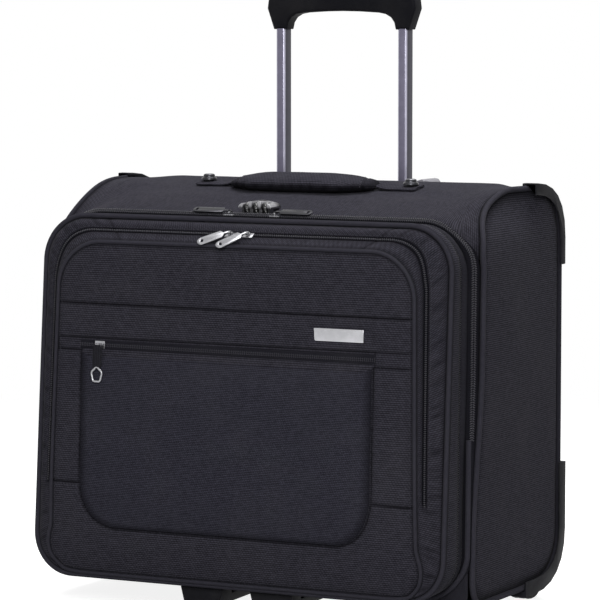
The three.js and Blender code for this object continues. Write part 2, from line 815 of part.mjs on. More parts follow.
// Gusset of the front section: a ring between two planes that lean by different amounts
const lidPipingBack = lidPipingSize - 2.5;
const lidGussetSlab = vectors([
  [rimY(0) - lidGussetStart, 0],
  [rimY(reach) - lidGussetStart, reach],
  [lidY(reach) + lidPipingBack + gap, reach],
  [lidY(0) + lidPipingBack + gap, 0],
]);
add(
  "lid_gusset",
  common(
    alongY(lidLoop, -reach, reach, offsetLoop(lidLoop, -5)),
    alongX(lidGussetSlab, -reach, reach),
  ),
  fabric,
);
add("lid_piping", ring(2, -4, -2.5, lidPipingBack, lidY), trim);
const boardLoop = offsetLoop(lidLoop, -5 - gap);
add(
  "lid_panel",
  lean(alongY(boardLoop, lidBoardDepth + gap, lidBoardDepth + gap + boardThickness), lidY),
  board,
);

// Pocket gusset: a tapering wall from the section's piping to the edge of the pocket cover
const coverLine = vectors(coverProfile.map(([z, y]) => [y, z]));
const coverY = (z) => {
  const i = coverProfile.findIndex(([height]) => height <= z);
  const k = i < 0 ? coverProfile.length - 1 : Math.max(1, i);
  const [z0, y0] = coverProfile[k - 1];
  const [z1, y1] = coverProfile[k];
  return y0 + ((z - z0) / (z1 - z0)) * (y1 - y0);
};
const at3 = (loop, depth) => loop.map((p) => new THREE.Vector3(p.x, depth(p.y), p.y));
const gussetTop = lidTop - 5 - gap;
const gussetOuter = new ConvexGeometry([
  ...at3(offsetLoop(lidLoop, -5 - gap), (z) => lidY(z) + lidBoardDepth),
  ...at3(offsetLoop(pocketLoop, 1), (z) => coverY(z) + coverThickness - 8),
]);
const gussetInner = new ConvexGeometry([
  ...at3(offsetLoop(lidLoop, -5 - gussetThickness), (z) => lidY(z) + lidBoardDepth + 1),
  ...at3(offsetLoop(pocketLoop, 1 - gussetThickness), (z) => coverY(z) - coverThickness - 6),
]);

// Slab whose front follows the pocket cover, from a depth behind its face to another
function coverSlab(from, to, rise = 14) {
  const line = coverLine.map((p) => p.clone());
  line[0] = new THREE.Vector2(coverY(pocketTop + rise), pocketTop + rise);
  line[line.length - 1] = new THREE.Vector2(coverY(pocketBottom - rise), pocketBottom - rise);
  const front = line.map((p) => new THREE.Vector2(p.x + from, p.y));
  const back = line.map((p) => new THREE.Vector2(p.x + to, p.y)).reverse();
  return alongX([...front, ...back], -reach, reach);
}

add(
  "pocket_gusset",
  cut(gussetOuter, gussetInner, coverSlab(-lidDepth, coverThickness + swingGap, lidDepth)),
  fabric,
);
add(
  "pocket_cover",
  common(alongY(offsetLoop(pocketLoop, -gap), -reach, 0), coverSlab(0, coverThickness)),
  fabric,
);
add(
  "pocket_piping",
  common(
    alongY(offsetLoop(pocketLoop, pocketPipingSize), -reach, 0, pocketLoop),
    coverSlab(-1.5, coverThickness),
  ),
  trim,
);

// A part set on the cover's face at (x, z), given in (x, depth, z) about that point
function onCover(mesh, x, z, stand) {
  const slope = (coverY(z + 5) - coverY(z - 5)) / 10;
  mesh.position.set(x, coverY(z) - stand, z);
  mesh.rotation.x = -Math.atan(slope);
  return mesh;
}

const plateGeometry = block(
  -plateWidth / 2, plateWidth / 2, -plateThickness, 0, -plateHeight / 2, plateHeight / 2,
);
onCover(add("nameplate", plateGeometry, bright), plateCentre[0], plateCentre[1], gap + 0.1);

// Slider and pull in their own frame: the bar lies along x, the base faces +z, the tab hangs to -y
function sliderGeometry(sizeX, sizeY) {
  const bar = barHeight;
  const base = block(-sizeX / 2, sizeX / 2, -sizeY / 2, sizeY / 2, 0, sliderThickness);
  const post = (x0, x1) =>
    block(x0, x1, -postHalf, postHalf, sliderThickness - 0.4, bar + barHalf);
  const rod = block(-postOuter, postOuter, -barHalf, barHalf, bar - barHalf, bar + barHalf);
  return join(base, post(postInner, postOuter), post(-postOuter, -postInner), rod);
}

function pullGeometry(length, width, leanDegrees, cord = false, rollDegrees = 0) {
  const circle = (radius, steps) =>
    Array.from({ length: steps }, (unused, i) => {
      const angle = (i / steps) * 2 * Math.PI;
      return new THREE.Vector2(radius * Math.cos(angle), radius * Math.sin(angle));
    });
  const eye = alongX(circle(ringOuter, 12), -ringHalf, ringHalf, circle(ringInner, 12));
  const half = width / 2;
  const near = cord ? 4 : half + 1.5;
  const tab = new THREE.Shape();
  tab.absarc(0, -length + half, half, Math.PI, Math.PI * 2, false);
  tab.lineTo(half, -near - half * 0.4);
  tab.lineTo(half * 0.4, -near);
  tab.lineTo(-half * 0.4, -near);
  tab.lineTo(-half, -near - half * 0.4);
  const slot = new THREE.Path();
  slot.absellipse(0, -length + half, half * 0.55, half * (cord ? 0.55 : 0.32), 0, Math.PI * 2, true);
  tab.holes.push(slot);
  const plate = new THREE.ExtrudeGeometry(tab, {
    depth: tabThickness, bevelEnabled: false, curveSegments: 8,
  }).translate(0, 0, tabLift);
  const neck = block(-ringHalf, ringHalf, -near - 1, -ringInner, tabLift, tabLift + tabThickness);
  const tongue = join(plate, neck)
    .rotateY(THREE.MathUtils.degToRad(rollDegrees))
    .rotateZ(-THREE.MathUtils.degToRad(leanDegrees));
  return join(eye, tongue);
}

const halfTurn = Math.PI / 2;

// Main sliders on the rim either side of the lock, with their pulls laid outwards
const sliderBase = lidTop + gap + 0.4;
for (const [side, sign] of [["right", 1], ["left", -1]]) {
  const slider = add(
    "main_slider_" + side, sliderGeometry(sliderCrossSize, sliderTravelSize), gunmetal,
  );
  slider.position.set(lockX + sign * mainSliderX, rimY(lidTop) - 2.4, sliderBase);
  slider.rotation.z = sign * halfTurn;
  const pull = add(
    "main_pull_" + side,
    pullGeometry(mainPullLength, pullWidth - 1, 0, false, -sign * mainPullRoll),
    gunmetal,
  );
  pull.position.set(lockX + sign * mainSliderX, rimY(lidTop) - 2.4, sliderBase + barHeight);
  pull.rotation.z = sign * halfTurn;
}

// Pocket sliders on the gusset's top face, with pulls that lie down it aslant
const slopeFrom = new THREE.Vector2(lidY(gussetTop) + lidBoardDepth, gussetTop);
const slopeTo = new THREE.Vector2(coverY(pocketTop + 1) + coverThickness - 8, pocketTop + 1);
const slopeAngle = Math.atan2(slopeFrom.y - slopeTo.y, slopeFrom.x - slopeTo.x);
pocketSliderX.forEach((x, i) => {
  const side = i ? "right" : "left";
  const out = new THREE.Vector2(-Math.sin(slopeAngle), Math.cos(slopeAngle));
  const share = (slopeFrom.x - pocketZipperY) / (slopeFrom.x - slopeTo.x);
  const seat = slopeFrom.clone().lerp(slopeTo, share).addScaledVector(out, gap + 0.1);
  const pivot = seat.clone().addScaledVector(out, barHeight);
  const slider = add(
    "pocket_slider_" + side, sliderGeometry(sliderTravelSize, sliderCrossSize), bright,
  );
  slider.position.set(x, seat.x, seat.y);
  slider.rotation.set(slopeAngle, 0, 0);
  const pull = add(
    "pocket_pull_" + side, pullGeometry(pocketPullLength, pullWidth, pocketPullLean[i]), bright,
  );
  pull.position.set(x, pivot.x, pivot.y);
  pull.rotation.set(halfTurn - THREE.MathUtils.degToRad(pocketTurn), 0, 0);
});

// Slit pocket's slider at the left end of its zipper, with a strap pull
const frontSlider = add(
  "front_slider", sliderGeometry(sliderTravelSize, sliderCrossSize), bright,
);
const coverSlope = Math.atan((coverY(frontZipperHeight + 5) - coverY(frontZipperHeight - 5)) / 10);
frontSlider.position.set(frontSliderX, coverY(frontZipperHeight) - gap - 0.1, frontZipperHeight);
frontSlider.rotation.set(halfTurn - coverSlope, 0, 0);
const frontPull = add(
  "front_pull", pullGeometry(frontPullLength, frontPullWidth, 0, true), webbing,
);
frontPull.position.set(
  frontSliderX, coverY(frontZipperHeight) - gap - 0.1 - barHeight, frontZipperHeight,
);
frontPull.rotation.set(halfTurn - coverSlope, 0, 0);

// Combination lock: domed body through the top panel, three dials and a release button
const lockBase = topLineAt(lockFront + lockDepth) + gap + 0.1;
const domeTop = lidTop + lockHeight;
const domeLoop = (() => {
  const s = new THREE.Shape();
  s.moveTo(-lockHalf, lockBase);
  s.lineTo(lockHalf, lockBase);
  s.lineTo(lockHalf, lockBase + 1.5);
  s.bezierCurveTo(lockHalf - 1, lockBase + 5, lockHalf / 2, domeTop, 0, domeTop);
  s.bezierCurveTo(-lockHalf / 2, domeTop, -lockHalf + 1, lockBase + 5, -lockHalf, lockBase + 1.5);
  return loopOf(s, 6);
})();
const dialY = lockY0 + dialRadius - 0.2;
const dialZ = domeTop - dialRadius - 1;
const dialSlotHalf = dialWidth / 2 + 0.4;
const dialSlots = [-1, 0, 1].map((i) =>
  block(
    i * dialSpacing - dialSlotHalf, i * dialSpacing + dialSlotHalf,
    lockFront - 1, dialY + dialRadius + 0.4, lidTop - lockSink + 2, domeTop + 10,
  ),
);
const buttonY0 = dialY + dialRadius + 1.5;
const buttonY1 = lockFront + lockDepth - 1.5;
const lockButtonSeat = block(
  -lockButtonWidth / 2 - gap, lockButtonWidth / 2 + gap, buttonY0 - gap, buttonY1 + gap,
  domeTop - lockButtonSink, domeTop + 10,
);
const lockHousing = block(
  -lockHalf + 2, lockHalf - 2, lockY0, lockY1, lidTop - lockSink, lockBase + 1,
);
const dialPin = new THREE.CylinderGeometry(1, 1, 2 * dialSpacing + 12, 8)
  .rotateZ(halfTurn)
  .translate(0, dialY, dialZ);
const lockBody = add(
  "lock_body",
  join(
    cut(
      join(alongY(domeLoop, lockFront, lockFront + lockDepth), lockHousing),
      ...dialSlots,
      lockButtonSeat,
    ),
    dialPin,
  ),
  bright,
);
const dialProfile = vectors([
  [1 + gap, -dialWidth / 2], [dialRadius - 0.5, -dialWidth / 2], [dialRadius, -dialWidth / 2 + 0.8],
  [dialRadius, dialWidth / 2 - 0.8], [dialRadius - 0.5, dialWidth / 2], [1 + gap, dialWidth / 2],
  [1 + gap, -dialWidth / 2],
]);
const lockDials = [-1, 0, 1].map((i) => {
  const dial = new THREE.LatheGeometry(dialProfile, 10)
    .rotateZ(halfTurn)
    .translate(i * dialSpacing, dialY, dialZ);
  return add("lock_dial_" + (i + 2), dial, board);
});
const lockButton = add(
  "lock_button",
  block(
    -lockButtonWidth / 2, lockButtonWidth / 2, buttonY0, buttonY1,
    domeTop - lockButtonSink + lockButtonTravel + gap, domeTop + 0.6,
  ),
  gunmetal,
);

for (const piece of [lockBody, ...lockDials, lockButton]) {
  piece.position.x = lockX;
}

// Centres the case over the origin, standing on z = 0
const bounds = new THREE.Box3().setFromObject(group, true);
assembly.position.y = -(bounds.min.y + bounds.max.y) / 2;

export default group;
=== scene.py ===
import json
import math
import bpy
import bmesh
import numpy as np
from mathutils import Matrix, Vector


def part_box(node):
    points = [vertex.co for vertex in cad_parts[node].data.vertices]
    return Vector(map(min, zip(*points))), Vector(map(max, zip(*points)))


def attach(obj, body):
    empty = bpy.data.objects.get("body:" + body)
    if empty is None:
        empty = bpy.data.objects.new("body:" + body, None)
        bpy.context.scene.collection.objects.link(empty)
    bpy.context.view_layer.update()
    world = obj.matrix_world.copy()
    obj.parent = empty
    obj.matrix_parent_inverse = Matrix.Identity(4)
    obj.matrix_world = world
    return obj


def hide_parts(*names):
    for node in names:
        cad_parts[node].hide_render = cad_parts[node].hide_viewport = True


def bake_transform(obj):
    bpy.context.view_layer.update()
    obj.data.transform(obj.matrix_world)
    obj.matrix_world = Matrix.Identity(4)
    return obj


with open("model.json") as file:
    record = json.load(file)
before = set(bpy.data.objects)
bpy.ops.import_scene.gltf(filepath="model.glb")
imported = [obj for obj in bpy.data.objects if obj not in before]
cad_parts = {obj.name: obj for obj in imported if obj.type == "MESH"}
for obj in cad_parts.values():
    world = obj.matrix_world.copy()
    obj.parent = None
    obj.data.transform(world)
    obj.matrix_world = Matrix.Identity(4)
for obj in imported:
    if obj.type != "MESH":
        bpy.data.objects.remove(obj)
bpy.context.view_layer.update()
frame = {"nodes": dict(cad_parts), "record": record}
nodes = frame["nodes"]
scene = bpy.context.scene
print("frame loaded:", len(nodes), "nodes")

# Sizes below are the source's millimetres, whose y = 0 is the rim plane at rimLevel
mm = 0.001
caseShape = {
    "half": 220, "bottom": 21, "top": 392, "rear": 193, "lean": 0.03, "level": 200,
    "cornerTop": 332, "toe": 26,
}
sectionShape = {
    "topHalf": 209.5, "bottomHalf": 210.5, "top": 365, "bottom": 29.5,
    "topRadius": 43, "bottomRadius": 39, "lean": 0.072, "depth": 40,
}
pocketShape = {
    "topHalf": 180.5, "bottomHalf": 186, "top": 340, "bottom": 37.5,
    "topRadius": 42, "bottomRadius": 40, "right": 0.4,
}
coverProfile = [
    (354, -49.2), (340, -51), (328, -52.8), (300, -54), (250, -56.3), (200, -58.6),
    (151.5, -60.8), (111.5, -62), (81.5, -61.5), (61.5, -60), (46.5, -58), (37.5, -56), (23.5, -53),
]
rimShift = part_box("back_panel")[1].y - caseShape["rear"] * mm


def at(x, y, z):
    return Vector((x * mm, y * mm + rimShift, z * mm))


def rimY(z):
    return caseShape["lean"] * (z - caseShape["level"])


def lidY(z):
    return sectionShape["lean"] * (z - caseShape["level"]) - sectionShape["depth"]


coverHeights, coverDepths = zip(*reversed(coverProfile))


def addObject(name, data):
    thing = bpy.data.objects.new(name, data)
    scene.collection.objects.link(thing)
    return thing


def evaluatedMesh(thing):
    return bpy.data.meshes.new_from_object(thing.evaluated_get(bpy.context.evaluated_depsgraph_get()))


# Camera at the photograph's viewing angle
cameraSet = {"lens": 203.92, "sensor": 36, "place": (1450.27, -2751.68, 561.09), "aim": (-14.21, 110, 280.24)}


def makeCamera():
    camera = addObject("camera", bpy.data.cameras.new("camera"))
    camera.data.lens = cameraSet["lens"]
    camera.data.sensor_width = cameraSet["sensor"]
    camera.data.clip_start = 0.05
    camera.location = at(*cameraSet["place"])
    direction = at(*cameraSet["aim"]) - camera.location
    camera.rotation_euler = direction.to_track_quat("-Z", "Y").to_euler()
    scene.camera = camera


makeCamera()
scene.view_settings.view_transform = "Standard"


def feed(tree, socket, value):
    if isinstance(value, bpy.types.NodeSocket):
        tree.links.new(value, socket)
    else:
        socket.default_value = value


def put(tree, kind, inputs=None, **settings):
    node = tree.nodes.new(kind)
    for key, value in settings.items():
        setattr(node, key, value)
    for key, value in (inputs or {}).items():
        feed(tree, node.inputs[key], value)
    return node


def maths(tree, operation, *values):
    return put(tree, "ShaderNodeMath", dict(enumerate(values)), operation=operation).outputs[0]


def newGroup(name, inputs, outputs):
    tree = bpy.data.node_groups.new(name, "ShaderNodeTree")
    for label, kind, value in inputs:
        socket = tree.interface.new_socket(label, in_out="INPUT", socket_type=kind)
        if value is not None:
            socket.default_value = value
    for label, kind in outputs:
        tree.interface.new_socket(label, in_out="OUTPUT", socket_type=kind)
    return tree, tree.nodes.new("NodeGroupInput"), tree.nodes.new("NodeGroupOutput")


# Floor that shows as the photograph's white ground and keeps the shadow, and soft studio light
studioSet = {
    "floorColour": 0.5, "floorLift": 0.86, "whiteFrom": 0.75, "whiteTo": 1.7, "worldLight": 0.2,
    "key": {"place": (1.3, -2.65, 1.6), "size": 1.3, "power": 66},
    "fill": {"place": (-2.4, -1.6, 1.3), "size": 1.8, "power": 2},
    "top": {"place": (0.2, 0.3, 2.6), "size": 1.8, "power": 74},
    "aim": (0, 0, 0.25),
}


def seenRay(tree):
    path = tree.nodes.new("ShaderNodeLightPath")
    either = maths(tree, "MAXIMUM", path.outputs["Is Camera Ray"], path.outputs["Is Glossy Ray"])
    return maths(tree, "MAXIMUM", either, path.outputs["Is Transmission Ray"])


def makeStudio():
    bpy.ops.mesh.primitive_plane_add(size=14)
    floor = bpy.context.object
    floor.name = "floor"
    material = bpy.data.materials.new("floor_paper")
    material.use_nodes = True
    tree = material.node_tree
    tree.nodes.clear()
    paper = put(tree, "ShaderNodeBsdfDiffuse", {"Color": (*[studioSet["floorColour"]] * 3, 1)})
    seen = seenRay(tree)
    lift = put(tree, "ShaderNodeEmission", {
        "Strength": maths(tree, "MULTIPLY", seen, studioSet["floorLift"]),
    })
    lit = put(tree, "ShaderNodeAddShader", {0: paper.outputs[0], 1: lift.outputs[0]})
    white = put(tree, "ShaderNodeEmission", {"Strength": 1.0})
    place = tree.nodes.new("ShaderNodeTexCoord").outputs["Object"]
    reach = put(tree, "ShaderNodeVectorMath", {0: place}, operation="LENGTH").outputs["Value"]
    far = put(tree, "ShaderNodeMapRange", {
        "Value": reach, "From Min": studioSet["whiteFrom"], "From Max": studioSet["whiteTo"],
    }, interpolation_type="SMOOTHSTEP").outputs[0]
    share = maths(tree, "MULTIPLY", far, seen)
    mixed = put(tree, "ShaderNodeMixShader", {0: share, 1: lit.outputs[0], 2: white.outputs[0]})
    put(tree, "ShaderNodeOutputMaterial", {"Surface": mixed.outputs[0]})
    floor.data.materials.append(material)

    world = bpy.data.worlds.new("studio")
    scene.world = world
    world.use_nodes = True
    tree = world.node_tree
    tree.nodes.clear()
    seen = seenRay(tree)
    soft = put(tree, "ShaderNodeBackground", {"Strength": studioSet["worldLight"]})
    white = put(tree, "ShaderNodeBackground", {"Color": (1, 1, 1, 1), "Strength": 1.0})
    soft.inputs["Color"].default_value = (1, 1, 1, 1)
    mixed = put(tree, "ShaderNodeMixShader", {0: seen, 1: soft.outputs[0], 2: white.outputs[0]})
    put(tree, "ShaderNodeOutputWorld", {"Surface": mixed.outputs[0]})

    for name in ("key", "fill", "top"):
        lamp = studioSet[name]
        data = bpy.data.lights.new(name, "AREA")
        data.shape = "SQUARE"
        data.size = lamp["size"]
        data.energy = lamp["power"]
        light = addObject(name, data)
        light.location = lamp["place"]
        aim = Vector(studioSet["aim"]) - light.location
        light.rotation_euler = aim.to_track_quat("-Z", "Y").to_euler()


makeStudio()
print("camera, floor and light made")

# Effects that several materials share, each a group of nodes


def makeWeave():
    tree, given, out = newGroup("weave", [
        ("Vector", "NodeSocketVector", None), ("Across", "NodeSocketFloat", 0.0016),
        ("Up", "NodeSocketFloat", 0.0012), ("Step", "NodeSocketFloat", 0.5),
    ], [("Height", "NodeSocketFloat"), ("Thread", "NodeSocketFloat"), ("Slub", "NodeSocketFloat")])
    place = put(tree, "ShaderNodeSeparateXYZ", {0: given.outputs["Vector"]})
    across = maths(tree, "DIVIDE", place.outputs[0], given.outputs["Across"])
    up = maths(tree, "DIVIDE", place.outputs[1], given.outputs["Up"])
    row = maths(tree, "FLOOR", up)
    across = maths(tree, "ADD", across, maths(tree, "MULTIPLY", row, given.outputs["Step"]))
    rib = maths(tree, "SINE", maths(tree, "MULTIPLY", maths(tree, "FRACT", up), math.pi))
    bead = maths(tree, "SINE", maths(tree, "MULTIPLY", maths(tree, "FRACT", across), math.pi))
    height = maths(tree, "MULTIPLY", rib, maths(tree, "MULTIPLY_ADD", bead, 0.45, 0.55))
    cell = put(tree, "ShaderNodeCombineXYZ", {0: maths(tree, "FLOOR", across), 1: row})
    thread = put(tree, "ShaderNodeTexWhiteNoise", {"Vector": cell.outputs[0]}, noise_dimensions="2D")
    long = put(tree, "ShaderNodeVectorMath", {0: given.outputs["Vector"], 1: (110, 420, 1)}, operation="MULTIPLY")
    slub = put(
        tree, "ShaderNodeTexNoise", {"Vector": long.outputs[0], "Scale": 1.0, "Detail": 3.0}, noise_dimensions="2D",
    )
    for name, value in (("Height", height), ("Thread", thread.outputs["Value"]), ("Slub", slub.outputs["Fac"])):
        tree.links.new(value, out.inputs[name])
    return tree


def makeDust():
    tree, given, out = newGroup("dust", [
        ("Vector", "NodeSocketVector", None), ("Scale", "NodeSocketFloat", 18.0),
        ("Amount", "NodeSocketFloat", 0.2),
    ], [("Mask", "NodeSocketFloat")])
    cloud = put(tree, "ShaderNodeTexNoise", {
        "Vector": given.outputs["Vector"], "Scale": given.outputs["Scale"], "Detail": 6.0, "Roughness": 0.62,
    })
    fleck = put(tree, "ShaderNodeTexVoronoi", {"Vector": given.outputs["Vector"], "Scale": 420.0})
    lint = maths(tree, "LESS_THAN", fleck.outputs["Distance"], 0.09)
    ramp = put(tree, "ShaderNodeMapRange", {"Value": cloud.outputs["Fac"], "From Min": 0.45, "From Max": 0.8})
    both = maths(tree, "MAXIMUM", ramp.outputs[0], maths(tree, "MULTIPLY", lint, 0.3))
    tree.links.new(maths(tree, "MULTIPLY", both, given.outputs["Amount"]), out.inputs["Mask"])
    return tree


def makeWear():
    tree, given, out = newGroup("edge_wear", [
        ("Vector", "NodeSocketVector", None), ("Amount", "NodeSocketFloat", 0.5),
    ], [("Mask", "NodeSocketFloat")])
    edge = put(tree, "ShaderNodeMapRange", {
        "Value": tree.nodes.new("ShaderNodeNewGeometry").outputs["Pointiness"],
        "From Min": 0.51, "From Max": 0.6,
    })
    patch = put(tree, "ShaderNodeTexNoise", {"Vector": given.outputs["Vector"], "Scale": 140.0, "Detail": 5.0})
    rough = put(tree, "ShaderNodeMapRange", {"Value": patch.outputs["Fac"], "From Min": 0.42, "From Max": 0.62})
    mask = maths(tree, "MULTIPLY", maths(tree, "MULTIPLY", edge.outputs[0], rough.outputs[0]), given.outputs["Amount"])
    tree.links.new(mask, out.inputs["Mask"])
    return tree


def makeGrain():
    tree, given, out = newGroup("moulded_grain", [
        ("Vector", "NodeSocketVector", None), ("Scale", "NodeSocketFloat", 900.0),
    ], [("Height", "NodeSocketFloat"), ("Shade", "NodeSocketFloat")])
    pits = put(tree, "ShaderNodeTexVoronoi", {
        "Vector": given.outputs["Vector"], "Scale": given.outputs["Scale"],
    }, feature="SMOOTH_F1")
    cloud = put(tree, "ShaderNodeTexNoise", {"Vector": given.outputs["Vector"], "Scale": 60.0, "Detail": 4.0})
    tree.links.new(pits.outputs["Distance"], out.inputs["Height"])
    tree.links.new(cloud.outputs["Fac"], out.inputs["Shade"])
    return tree


def makeBrush():
    tree, given, out = newGroup("drawn_lines", [
        ("Vector", "NodeSocketVector", None), ("Stretch", "NodeSocketVector", (3000.0, 3000.0, 25.0)),
    ], [("Height", "NodeSocketFloat"), ("Shade", "NodeSocketFloat")])
    long = put(
        tree, "ShaderNodeVectorMath", {0: given.outputs["Vector"], 1: given.outputs["Stretch"]},
        operation="MULTIPLY",
    )
    lines = put(tree, "ShaderNodeTexNoise", {"Vector": long.outputs[0], "Scale": 1.0, "Detail": 3.0})
    cloud = put(tree, "ShaderNodeTexNoise", {"Vector": given.outputs["Vector"], "Scale": 35.0, "Detail": 5.0})
    tree.links.new(lines.outputs["Fac"], out.inputs["Height"])
    tree.links.new(cloud.outputs["Fac"], out.inputs["Shade"])
    return tree


effects = {"weave": makeWeave(), "dust": makeDust(), "wear": makeWear(), "grain": makeGrain(), "brush": makeBrush()}


def effect(tree, name, **inputs):
    return put(tree, "ShaderNodeGroup", inputs, node_tree=effects[name])


def blendColour(tree, share, first, second):
    return put(tree, "ShaderNodeMix", {0: share, 6: first, 7: second}, data_type="RGBA").outputs[2]


def shade(colour, factor):
    return (*[c * factor for c in colour[:3]], 1)


def startMaterial(name):
    material = bpy.data.materials.new(name)
    material.use_nodes = True
    tree = material.node_tree
    tree.nodes.clear()
    shader = tree.nodes.new("ShaderNodeBsdfPrincipled")
    output = put(tree, "ShaderNodeOutputMaterial", {"Surface": shader.outputs[0]})
    shader.location, output.location = (0, 0), (300, 0)
    return material, tree, shader


def finishShader(tree, shader, colour, rough, height, depth, distance, values):
    bump = put(tree, "ShaderNodeBump", {"Height": height, "Strength": depth, "Distance": distance})
    feed(tree, shader.inputs["Base Color"], colour)
    feed(tree, shader.inputs["Roughness"], rough)
    feed(tree, shader.inputs["Normal"], bump.outputs[0])
    for name, value in values.items():
        shader.inputs[name].default_value = value


# Woven cloth: the pattern lies on the piece's own map, in metres, and painted shade darkens it in seams, folds and
# creases
def clothMaterial(name, colour, across, up, step=0.5, depth=0.35, contrast=0.5, rough=0.86, sheen=0.02, dust=0.04):
    material, tree, shader = startMaterial(name)
    flat = put(tree, "ShaderNodeUVMap", uv_map="weave").outputs[0]
    place = tree.nodes.new("ShaderNodeTexCoord").outputs["Object"]
    weave = effect(tree, "weave", Vector=flat, Across=across, Up=up, Step=step)
    streak = put(
        tree, "ShaderNodeMapRange", {"Value": weave.outputs["Slub"], "From Min": 0.3, "From Max": 0.7},
    ).outputs[0]
    tone = maths(
        tree, "MULTIPLY_ADD", weave.outputs["Thread"], 0.16, maths(tree, "MULTIPLY", weave.outputs["Height"], 0.68),
    )
    tone = maths(tree, "MULTIPLY_ADD", streak, 0.06, tone)
    cloth = blendColour(tree, tone, shade(colour, 1 - contrast), shade(colour, 1 + contrast))
    motes = effect(tree, "dust", Vector=place, Amount=dust)
    cloth = blendColour(tree, motes.outputs["Mask"], cloth, (0.16, 0.155, 0.16, 1))
    # Painted shade: the piece's point values darken the cloth's colour in seams, folds and creases, where shade falls
    folds = tree.nodes.new("ShaderNodeAttribute")
    folds.attribute_name = "painted_shade"
    cloth = blendColour(tree, folds.outputs["Fac"], cloth, shade(colour, 0.18))
    roughness = maths(tree, "MULTIPLY_ADD", weave.outputs["Height"], -0.12, rough + 0.06)
    height = maths(tree, "MULTIPLY_ADD", weave.outputs["Thread"], 0.15, weave.outputs["Height"])
    finishShader(tree, shader, cloth, roughness, height, depth, 0.0004, {
        "Sheen Weight": sheen, "Sheen Roughness": 0.45, "Specular IOR Level": 0.015,
    })
    return material


# Moulded plastic and rubber, by place on the case
def mouldMaterial(name, colour, rough, grain=900.0, depth=0.2, wear=0.35, dust=0.08, specular=0.4):
    material, tree, shader = startMaterial(name)
    place = tree.nodes.new("ShaderNodeTexCoord").outputs["Object"]
    skin = effect(tree, "grain", Vector=place, Scale=grain)
    rub = effect(tree, "wear", Vector=place, Amount=wear)
    motes = effect(tree, "dust", Vector=place, Amount=dust)
    tone = blendColour(tree, skin.outputs["Shade"], shade(colour, 0.8), shade(colour, 1.2))
    tone = blendColour(tree, rub.outputs["Mask"], tone, shade(colour, 3.2))
    tone = blendColour(tree, motes.outputs["Mask"], tone, (0.15, 0.145, 0.14, 1))
    roughness = maths(tree, "MULTIPLY_ADD", skin.outputs["Shade"], 0.16, rough - 0.08)
    finishShader(tree, shader, tone, roughness, skin.outputs["Height"], depth, 0.0002, {"Specular IOR Level": specular})
    return material


def metalMaterial(
    name, colour, rough, stretch=(2500.0, 2500.0, 30.0), depth=0.05, wear=0.3, metallic=1.0, coat=0.0,
    variation=0.08,
):
    material, tree, shader = startMaterial(name)
    place = tree.nodes.new("ShaderNodeTexCoord").outputs["Object"]
    lines = effect(tree, "brush", Vector=place, Stretch=stretch)
    rub = effect(tree, "wear", Vector=place, Amount=wear)
    tone = blendColour(tree, lines.outputs["Shade"], shade(colour, 1 - variation), shade(colour, 1 + variation))
    tone = blendColour(tree, rub.outputs["Mask"], tone, shade(colour, 1.7))
    roughness = maths(tree, "MULTIPLY_ADD", lines.outputs["Height"], 0.16, rough - 0.08)
    finishShader(tree, shader, tone, roughness, lines.outputs["Height"], depth, 0.0001, {
        "Metallic": metallic, "Coat Weight": coat, "Coat Roughness": 0.2,
    })
    return material


